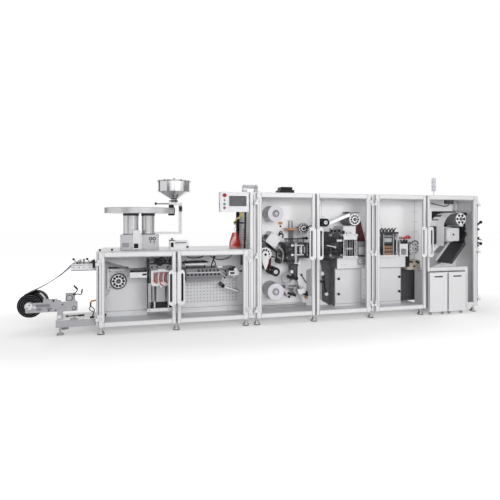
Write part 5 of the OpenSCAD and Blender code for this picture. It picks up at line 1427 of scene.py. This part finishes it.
class BLISTER_OT_sealing_bay(bpy.types.Operator):
    """Sealing station with its bars, springs, clamp and terminal box"""

    bl_idname = "blister.sealing_bay"
    bl_label = "Sealing bay"

    def execute(self, context):
        dressed("sealing_station", "dark_metal", 2.0, [
            ((2400, 190, 300), (2520, TO_PLATE, 415), "grey_paint"),
            ((2400, 200, 400), (2480, TO_PLATE, 745), "rail_paint")])
        trim = Form("sealing_fittings", "white_paint")
        # White bars and pads across the dies, grey head bar
        for z in (966, 846):
            trim.block((2330, 54, z - 6), (2500, DIE_Y, z + 6), 2)
            trim.block((2328, 46, z - 13), (2356, DIE_Y, z + 13), 3)
        trim.block((2460, 54, 856), (2474, DIE_Y, 956), 2)
        trim.use("grey_paint").block((2374, 46, 742), (2404, DIE_Y, 1000), 3)
        for x, low, high in ((2440, 866, 948), (2500, 866, 948), (2540, 830, 980)):
            trim.block((x, 56, low), (x + 18, DIE_Y, high), 2)
        trim.use("brushed_steel")
        trim.bolts((2277, 2570), DIE_Y, (812, 985))
        for x in (2290, 2330, 2450, 2530):
            trim.spring((x, 150, 996), 11, 2, 6, 46, 5, 48)
        trim.use("black_plastic")
        for x, z in ((2286, 940), (2300, 880), (2282, 860), (2560, 940), (2556, 866)):
            trim.knob((x, DIE_Y, z), r=12)
        trim.block((2270, 130, 1040), (2550, 170, 1054), 3)
        # Bracket in front of the seal wheel
        trim.use("white_paint").prism([(1948, 866), (1964, 898), (2022, 898), (2040, 866), (2034, 760),
                                       (2002, 668), (1986, 668), (1954, 760)], 66, 78, 3)
        trim.use("black_plastic")
        trim.boss(15, 8, 10, 12, (1994, 66, 856), FRONT, 24)
        trim.block((1898, 120, 650), (1960, PLATE_Y, 684), 3)
        trim.block((2010, 110, 660), (2054, PLATE_Y, 690), 3)
        trim.stud((1994, 72, 676), 9)
        # Dancer hook between the wheel and the dies
        trim.tube([(2120, 150, 925), (2152, 150, 890), (2164, 150, 806), (2188, 150, 742), (2222, 150, 748),
                   (2230, 150, 786)], 10)
        trim.stud((2164, 150, 806), 9)
        trim.boss(34, 20, 26, 26, (2178, 170, 770), FRONT, 32)
        trim.use("grey_paint")
        trim.tube([(2196, 160, 940), (2240, 160, 900), (2256, 160, 830), (2230, 160, 740)], 12)
        trim.stud((2240, 160, 900), 10)
        # Clamp arms under the dies
        trim.use("dark_metal")
        trim.block((2292, 100, 770), (2440, PLATE_Y, 800), 3)
        trim.block((2300, 110, 734), (2420, 300, 758), 3)
        trim.block((2386, 150, 540), (2452, 305, 745), 4)
        trim.use("white_paint").block((2382, 86, 726), (2440, 110, 744), 3)
        trim.block((2440, 86, 704), (2466, 150, 764), 3)
        trim.block((2352, 140, 600), (2386, 200, 640), 3)
        trim.use("black_plastic")
        trim.rod((2286, 96, 572), (2396, 96, 540), 20, edge=6)
        trim.rod((2396, 96, 540), (2396, 152, 548), 16)
        trim.boss(26, 10, 18, 14, (2410, 96, 540), FRONT, 32)
        trim.use("grey_paint").ring((2318, 200, 530), FRONT, 66, 12, 40)
        trim.block((2296, 190, 412), (2340, 215, 470), 3)
        trim.block((2300, 200, 400), (2404, PLATE_Y, 416), 3)
        # Pale guide panel at the right, its latch lever, and the clamp by the lower roll
        trim.use("plate_paint").prism([(2508, 792), (2608, 792), (2612, 190), (2560, 190), (2500, 430),
                                       (2476, 560)], 250, 262, 2)
        for x, z in ((2540, 700), (2580, 300)):
            trim.stud((x, 262, z), 10)
        trim.use("dark_metal").rod((2540, 236, 556), (2606, 236, 450), 7)
        trim.ball((2536, 236, 562), 16)
        trim.rod((2540, 236, 556), (2540, 252, 556), 8)
        trim.use("black_plastic")
        trim.rod((2306, 130, 352), (2420, 130, 312), 15, edge=4)
        trim.rod((2412, 130, 316), (2420, 202, 330), 9)
        trim.ball((2326, 130, 300), 15)
        trim.tube([(2326, 130, 300), (2352, 150, 318), (2404, 202, 340)], 6)
        trim.use("light_paint").prism([(2436, 392), (2530, 404), (2552, 344), (2460, 320)], 120, 200, 3)
        trim.use("black_plastic").prism([(2500, 330), (2590, 360), (2600, 290)], 150, 200, 2)
        trim.block((2490, 200, 318), (2600, 252, 340), 2)
        trim.block((2440, 118, 400), (2462, 140, 420), 3)
        trim.use("amber").block((2590, 196, 250), (2612, 250, 336), 2)
        # Grey block in the gap under the plate above the floor pan: painted shade of that gap
        trim.use("grey_paint").block((1830, 340, PAN), (2624, 379, 150), 1)
        trim.done()
        return {"FINISHED"}


class BLISTER_OT_coding_bay(bpy.types.Operator):
    """Coding and perforating stations, guide block, cabinets and the painted shade of the recess beside them
    """

    bl_idname = "blister.coding_bay"
    bl_label = "Coding bay"

    def execute(self, context):
        columns = [((x - 14, 60, 813), (x + 14, 100, 1090), "polished_steel") for x in (3068, 3247)]
        dressed("coding_station", "dark_metal", 2.0, [
            ((3050, 50, 1096), (3268, TO_PLATE, 1215), "white_paint"),
            ((3264, 50, 789), (3412, TO_PLATE, 1001), "rail_paint"),
            ((3049, 50, 1078), (3266, TO_PLATE, 1105), "light_paint"),
            ((3049, 50, 789), (3266, TO_PLATE, 815), "white_paint"), *columns])
        # The cabinets' left side, X 2990 to 3034, is dark grey: painted shade beside the recess
        dressed("station_cabinets", "white_paint", 3.0, [
            ((3000, 236, 100), (3424, 246, 640), "light_paint"),
            ((3580, 236, 100), (4060, 246, 640), "light_paint"),
            ((2990, 246, 90), (3034, TO_PLATE, 800), "rail_paint")])
        trim = Form("coding_fittings", "polished_steel")
        # Extra columns, collars, springs and screws of the two die sets
        for x in (3092, 3222):
            trim.post((x, 74), DIE_BASE, 1080, 9)
        for x0, w, top in ((2860, 186, 1132), (3050, 215, 1104)):
            trim.use("brushed_steel")
            for x in (x0 + 18, x0 + w - 18):
                for z in (DIE_BASE, top - 54):
                    trim.turned([(12, 0), (19, 0), (19, 26), (16, 30), (12, 30), (12, 0)], (x, 80, z), UP, 28)
            trim.bolts((x0 + 50, x0 + w - 50), DIE_Y, (802, top - 12))
        for x in (2900, 2950, 3000):
            trim.spring((x, 130, 1132), 12, 2.2, 6, 50, 6, 50)
        trim.use("black_plastic")
        for x, z in ((2900, 1150), (2950, 1146), (3006, 1152)):
            trim.ball((x, 84, z), 17)
            trim.rod((x, 84, z), (x, 100, 1128), 8)
        trim.block((2846, 50, 980), (2944, DIE_Y, 1064), 4)
        trim.block((2896, 54, 834), (3030, DIE_Y, 872), 3)
        trim.block((2896, 54, 890), (3030, DIE_Y, 926), 3)
        trim.use("light_paint").block((2956, 48, 1008), (3034, DIE_Y, 1034), 3)
        trim.use("white_paint").rod((2812, 46, 962), (2920, 46, 938), 6)
        trim.ball((2926, 48, 936), 15)
        trim.use("light_paint")
        trim.block((3060, 58, 1030), (3252, 90, 1078), 3)
        for x in (3126, 3176):
            trim.ball((x, 70, 1118), 20)
        trim.use("black_plastic").post((3070, 90), 1104, 1150, 16, edge=4)
        trim.block((3100, 84, 880), (3200, 90, 1030), 2)
        trim.block((3098, 70, 816), (3190, 90, 1028), 2)
        trim.block((3080, 66, 816), (3088, 84, 1028), 1)
        trim.block((3206, 66, 816), (3214, 84, 1028), 1)
        trim.use("brushed_steel")
        for x in (3108, 3146, 3178):
            trim.block((x, DIE_Y, 822), (x + 8, 70, 1022), 2)
        trim.use("grey_paint").block((3098, 60, 900), (3190, 66, 924), 2)
        # Scraper over the wheel and its arm on the plate
        trim.use("dark_metal").block((3238, 120, 1386), (3318, PLATE_Y, 1392), 1)
        trim.block((3190, 240, 1384), (3240, 262, 1402), 3)
        trim.stud((3210, 262, 1393), 9)
        # Guide block: grey face, dark ledge, and the round grip on the cabinet's upper part
        trim.use("grey_paint").block((3290, 84, 820), (3404, 90, 930), 3)
        trim.use("black_plastic").block((3276, 60, 806), (3350, 90, 824), 3)
        trim.use("grey_paint").block((3306, 132, 684), (3420, 150, 766), 4)
        trim.use("white_paint").boss(24, 10, 18, 16, (3342, 132, 734), FRONT, 36)
        trim.use("black_plastic").disc(9, 4, (3342, 116, 734), FRONT, 20)
        trim.bolts((3070, 3120), 150, (690,), 4)
        # Latches and dark gaps of the cabinet doors
        for x, z in ((3066, 492), (3066, 288), (3992, 492), (3992, 288)):
            trim.knob((x, CABINET_Y, z), r=17)
        for x0, x1 in ((3022, 3410), (3600, 4026)):
            for left, right, low, high in ((x0, x0 + 3, 150, 625), (x1 - 3, x1, 150, 625), (x0, x1, 622, 625),
                                           (x0, x1, 150, 153)):
                trim.block((left, CABINET_Y - 1.2, low), (right, CABINET_Y + 1, high), 0.0)
        trim.done()
        # Dark and grey flat panels on the plate, with a paler one at their foot: painted shade of the
        # recesses beside the cabinets
        recess = Form("recess_painted_shade", "painted_shade")
        recess.prism([(2890, 122), (3030, 122), (3030, 900), (2868, 900), (2850, 760), (2880, 640)],
                     PLATE_Y - 6, PLATE_Y, 0.0)
        recess.use("grey_paint").prism([(2650, 122), (2890, 122), (2880, 640), (2850, 760), (2780, 640),
                                        (2650, 600)], PLATE_Y - 5, PLATE_Y, 0.0)
        recess.use("painted_shade")
        recess.block((4048, 374, 122), (4360, PLATE_Y, 590), 0.0)
        recess.use("plate_in_painted_shade").prism([(2650, 122), (2980, 122), (2780, 240), (2650, 260)],
                                            366, 374, 0.0)
        # Lever with two white balls
        recess.use("black_plastic").tube([(2816, 210, 566), (2842, 206, 520), (2852, 206, 400),
                                          (2878, 210, 306)], 13)
        recess.rod((2848, 208, 450), (2848, 376, 450), 14)
        recess.use("white_paint").ball((2812, 210, 574), 32)
        recess.ball((2880, 210, 298), 26)
        recess.done()
        return {"FINISHED"}


class BLISTER_OT_punch_bay(bpy.types.Operator):
    """Punch station, trim bracket, drum and waste plate"""

    bl_idname = "blister.punch_bay"
    bl_label = "Punch bay"

    def execute(self, context):
        dressed("punch_station", "dark_metal", 2.0, [
            ((3590, 80, DIE_BASE), (3850, TO_PLATE, 941), "copper"),
            ((3560, 50, 789), (3880, TO_PLATE, 815), "white_paint"),
            ((3570, 60, 813), (3598, 100, 1104), "polished_steel"),
            ((3840, 60, 813), (3868, 100, 1104), "polished_steel")])
        dressed("trim_station", "white_paint", 2.0, [
            ((4090, 180, 600), (4310, TO_PLATE, 745), "beige_paint"),
            ((4110, 160, 800), (4290, TO_PLATE, 975), "light_paint")])
        trim = Form("punch_fittings", "black_plastic")
        # Springs with hooked levers on the head plate
        for x in (3616, 3666, 3719, 3772, 3822):
            trim.use("black_plastic").coil((x, 110, 1127), 13, 2.6, 5, 34)
            trim.tube([(x, 96, 1127), (x + 2, 92, 1150), (x + 14, 90, 1168), (x + 30, 92, 1176)], 8)
            trim.use("brushed_steel").post((x, 110), 1127, 1166, 6)
        for x in (3584, 3854):
            for z in (DIE_BASE, 1065):
                trim.turned([(12, 0), (20, 0), (20, 34), (17, 38), (12, 38), (12, 0)], (x, 80, z), UP, 28)
        # Guide posts, heads, side columns and their knobs
        trim.use("brushed_steel")
        for x in (3652, 3800):
            trim.post((x, 76), DIE_BASE, 1104, 10)
        trim.block((3666, 80, 1060), (3790, 91, 1082), 3)
        trim.use("dark_metal").block((3664, 70, 848), (3788, 90, 866), 3)
        trim.use("grey_paint").block((3672, 82, 990), (3782, 91, 1044), 3)
        trim.use("black_plastic")
        trim.block((3570, 104, DIE_BASE), (3606, PLATE_Y, 1090), 3)
        trim.block((3846, 104, DIE_BASE), (3884, PLATE_Y, 1020), 3)
        trim.block((3664, 84, 940), (3790, 92, 962), 2)
        for x in (3596, 3800):
            trim.block((x, 80, DIE_BASE), (x + 48, 91, 941), 2)
        for x in (3690, 3726, 3762):
            trim.knob((x, 88, 905), r=9)
        for z in (1060, 1010, 950, 890, 840):
            trim.knob((3588, 104, z), r=12)
        # Trim bracket: window, dark arch top, wiring beside it
        trim.block((3934, 226, 812), (4014, 231, 894), 0.0)
        trim.block((3918, 82, 964), (4028, 90, 1000), 4)
        for x in (3930, 3974, 4018):
            trim.ball((x, 96, 1006), 15)
        trim.use("light_paint").block((3930, 84, 928), (4016, 90, 956), 3)
        trim.use("black_plastic").block((4040, 110, 640), (4078, PLATE_Y, 944), 3)
        trim.tube([(4036, 120, 930), (4060, 100, 980), (4090, 110, 960), (4096, 300, 930)], 7)
        trim.use("red_plastic").tube([(4008, 130, 1000), (4016, 126, 1046), (4058, 120, 1066),
                                      (4096, 130, 1044), (4100, 220, 1036), (4100, PLATE_Y, 1030)], 11)
        # Drum cover: screws, dark hub and grips; knobs of the waste plate
        drum_x, drum_z, screw_ring, screws = 4200, 887, 62, 8
        trim.use("dark_metal")
        for turn in range(screws):
            angle = math.tau * (turn + 0.5) / screws
            trim.bolt((drum_x + screw_ring * math.cos(angle), 186, drum_z + screw_ring * math.sin(angle)),
                      FRONT, 8)
        trim.use("white_paint").boss(30, 10, 22, 16, (drum_x, 163, drum_z), FRONT, 36)
        trim.use("dark_metal").disc(11, 5, (drum_x, 147, drum_z), FRONT, 24)
        trim.tube([(4150, 178, 960), (4180, 172, 990), (4236, 172, 990), (4262, 178, 950)], 8)
        trim.use("black_plastic")
        for x, z in ((4130, 706), (4160, 700), (4232, 706), (4258, 690), (4196, 640)):
            trim.knob((x, 186, z), r=14)
        trim.done()
        return {"FINISHED"}


class BLISTER_OT_discharge_bay(bpy.types.Operator):
    """Discharge gearbox, ejector, arch, chute and end levers"""

    bl_idname = "blister.discharge_bay"
    bl_label = "Discharge bay"

    def execute(self, context):
        # The arch, X 4590 to 4890, is in the bright colour: painted light on a face in the roof's shade
        dressed("discharge_unit", "light_paint", 2.0, [
            ((4590, 90, 880), (4890, TO_PLATE, 1420), "painted_light"),
            ((4990, 150, 900), (5060, TO_PLATE, 1400), "black_plastic"),
            ((4705, 140, 980), (4920, TO_PLATE, 1180), "light_paint"),
            ((4580, 0, 1500), (4720, 70, 1610), "dark_metal")])
        rear = (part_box("discharge_chute")[1].y - CORNER.y) * MM
        dressed("discharge_chute", "dark_metal", 2.0, [
            ((4600, rear - 16, 600), (5084, rear + 2, 1000), "white_paint")])
        dressed("end_levers", "black_plastic", 2.0, [((5080, 50, 800), (5132, 200, 1400), "brushed_steel")])
        trim = Form("discharge_fittings", "brushed_steel")
        gearbox = (4811, 150, 1082)
        trim.bolts((4724, 4899), 150, (1004, 1159))
        trim.use("light_paint").boss(44, 8, 36, 12, gearbox, FRONT)
        trim.use("black_plastic").turned([(0, 12), (14, 12), (14, 18), (0, 18)], gearbox, FRONT, 24)
        # Grey lane on the plate beside the chute
        trim.use("rail_paint").prism([(4846, 966), (5046, 959), (4914, 795), (4663, 808)], PLATE_Y - 4,
                                     PLATE_Y, 0.0)
        trim.use("grey_paint").prism([(4663, 808), (4914, 795), (4792, 647), (4595, 579), (4583, 766)],
                                     PLATE_Y - 4, PLATE_Y, 0.0)
        # Dark panel behind the wheel, and the ejector's links
        trim.use("black_plastic").block((4640, 372, 1190), (5050, PLATE_Y, 1420), 0.0)
        # Bent sheet behind the arch in the shade colour: painted shade
        trim.use("painted_shade")
        trim.strip([(4607, 940), (4607, 1180), (4640, 1290), (4700, 1362)], 236, 372, 1.5)
        trim.use("black_plastic")
        trim.block((4960, 110, 1150), (5000, PLATE_Y, 1180), 3)
        trim.prism([(4950, 1330), (4980, 1400), (5050, 1400), (5050, 1360), (5000, 1340),
                    (4975, 1300)], 150, 186, 3)
        trim.post((4985, 120), 1165, 1320, 11)
        trim.ball((4985, 120, 1330), 18)
        trim.tube([(5025, 186, 1120), (5020, 130, 1090), (4980, 120, 1050), (4950, 140, 1010)], 10)
        for z in (960, 1040, 1240, 1320):
            trim.knob((5025, 186, z), r=13)
        trim.use("light_paint").block((4900, 120, 1196), (4960, PLATE_Y, 1216), 3)
        trim.use("rail_paint").block((4917, 160, 1000), (4932, PLATE_Y, 1170), 2)
        # Cables under the roof and the bright panel beside the sensor box
        trim.use("black_plastic").tube([(4650, 36, 1515), (4648, 60, 1490), (4640, 200, 1500),
                                        (4630, PLATE_Y, 1540)], 6)
        trim.use("white_paint").block((5000, 330, 1430), (5054, PLATE_Y, 1596), 2)
        trim.done()
        levers = Form("end_lever_grips", "black_plastic")
        y = 100
        levers.tube([(END, y, 1190), (END + 50, y, 1186), (END + 100, y, 1210), (END + 170, y, 1268)], 7)
        levers.rod((END + 150, y, 1252), (END + 174, y, 1272), 11, edge=4)
        levers.tube([(END, y, 1000), (END + 50, y, 1004), (END + 110, y, 1010), (END + 172, y, 1000)], 7)
        levers.tube([(END + 60, y, 1006), (END + 90, y, 976), (END + 112, y, 924)], 7)
        levers.rod((END + 106, y, 940), (END + 118, y, 906), 11, edge=4)
        # Second handles and ball ends that stand off the two levers
        upper_z, lower_z = 1190, 1000
        for z, rise in ((upper_z, 60), (lower_z, -50)):
            levers.rod((END + 60, y, z + rise * 0.5), (END + 118, y, z - rise * 0.6), 8, edge=2)
            levers.ball((END + 120, y, z - rise * 0.62), 15)
            levers.rod((END + 14, y, z), (END + 36, y, z - rise * 1.2), 7, edge=2)
            levers.ball((END + 37, y, z - rise * 1.25), 13)
        levers.use("brushed_steel")
        for z in (upper_z, lower_z):
            levers.boss(22, 6, 16, 14, (END, y, z), (1, 0, 0), 28)
        levers.done()
        return {"FINISHED"}


class BLISTER_OT_bins(bpy.types.Operator):
    """Waste bins with rolled rims, grips and casters"""

    bl_idname = "blister.bins"
    bl_label = "Waste bins"

    def execute(self, context):
        for name, body in (("waste_bin_1", "bin_1"), ("waste_bin_2", "bin_2")):
            low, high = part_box(name)
            x0, x1 = (low.x - CORNER.x) * MM, (high.x - CORNER.x) * MM
            dressed(name, "white_paint", 2.0, [((x0, -90, 0), (x1, 240, 45), "brushed_steel")], body)
            trim = Form(name + "_fittings", "rubber")
            for x in (x0 + 46, x1 - 46):
                for y in (-38, 190):
                    trim.use("rubber").ring((x, y, 20), (1, 0, 0), 15, 4.9, 32)
                    trim.use("brushed_steel").turned([(0, -11), (7, -11), (7, 11), (0, 11)], (x, y, 19.8),
                                                     (1, 0, 0), 20)
            # Black grip slot and black strips at the front's edges: painted shade in the slot and in the gap
            # round the bin
            middle = (x0 + x1) / 2
            trim.use("black_plastic").block((middle - 66, -84.2, 512), (middle + 66, -83, 530), 0.0)
            for x in (x0 + 0.5, x1 - 4.5):
                trim.block((x, -84.2, 70), (x + 4, -83, 560), 0.0)
            trim.use("white_paint")
            for y in (-79.4, 231.4):
                trim.rod((x0, y, 574), (x1, y, 574), 4.5, sides=12)
            trim.done(body)
        return {"FINISHED"}


OPERATORS = (
    BLISTER_OT_stage, BLISTER_OT_air_hose, BLISTER_OT_housing, BLISTER_OT_rear, BLISTER_OT_feet,
    BLISTER_OT_doors, BLISTER_OT_roof_items, BLISTER_OT_feeder, BLISTER_OT_hopper, BLISTER_OT_console,
    BLISTER_OT_unwinder, BLISTER_OT_film_runs, BLISTER_OT_wheels, BLISTER_OT_rolls,
    BLISTER_OT_forming_bay, BLISTER_OT_cooling_bay, BLISTER_OT_sealing_bay, BLISTER_OT_coding_bay,
    BLISTER_OT_punch_bay, BLISTER_OT_discharge_bay, BLISTER_OT_bins,
)


class BLISTER_PT_panel(bpy.types.Panel):
    """Sizes, colours and pieces of the machine"""

    bl_idname = "BLISTER_PT_panel"
    bl_label = "Blister machine"
    bl_space_type = "VIEW_3D"
    bl_region_type = "UI"
    bl_category = "Blister machine"

    def draw(self, context):
        layout = self.layout
        for settings in (context.scene.blister_sizes, context.scene.blister_colours):
            for name in settings.__annotations__:
                layout.prop(settings, name)
        for operator in OPERATORS:
            layout.operator(operator.bl_idname)


CLASSES = (BlisterColours, BlisterSizes, *OPERATORS, BLISTER_PT_panel)


def register():
    for item in CLASSES:
        bpy.utils.register_class(item)
    bpy.types.Scene.blister_colours = PointerProperty(type=BlisterColours)
    bpy.types.Scene.blister_sizes = PointerProperty(type=BlisterSizes)


def unregister():
    del bpy.types.Scene.blister_sizes
    del bpy.types.Scene.blister_colours
    for item in reversed(CLASSES):
        bpy.utils.unregister_class(item)


def main():
    register()
    for operator in OPERATORS:
        group, name = operator.bl_idname.split(".")
        getattr(getattr(bpy.ops, group), name)()


if __name__ == "__main__":
    main()
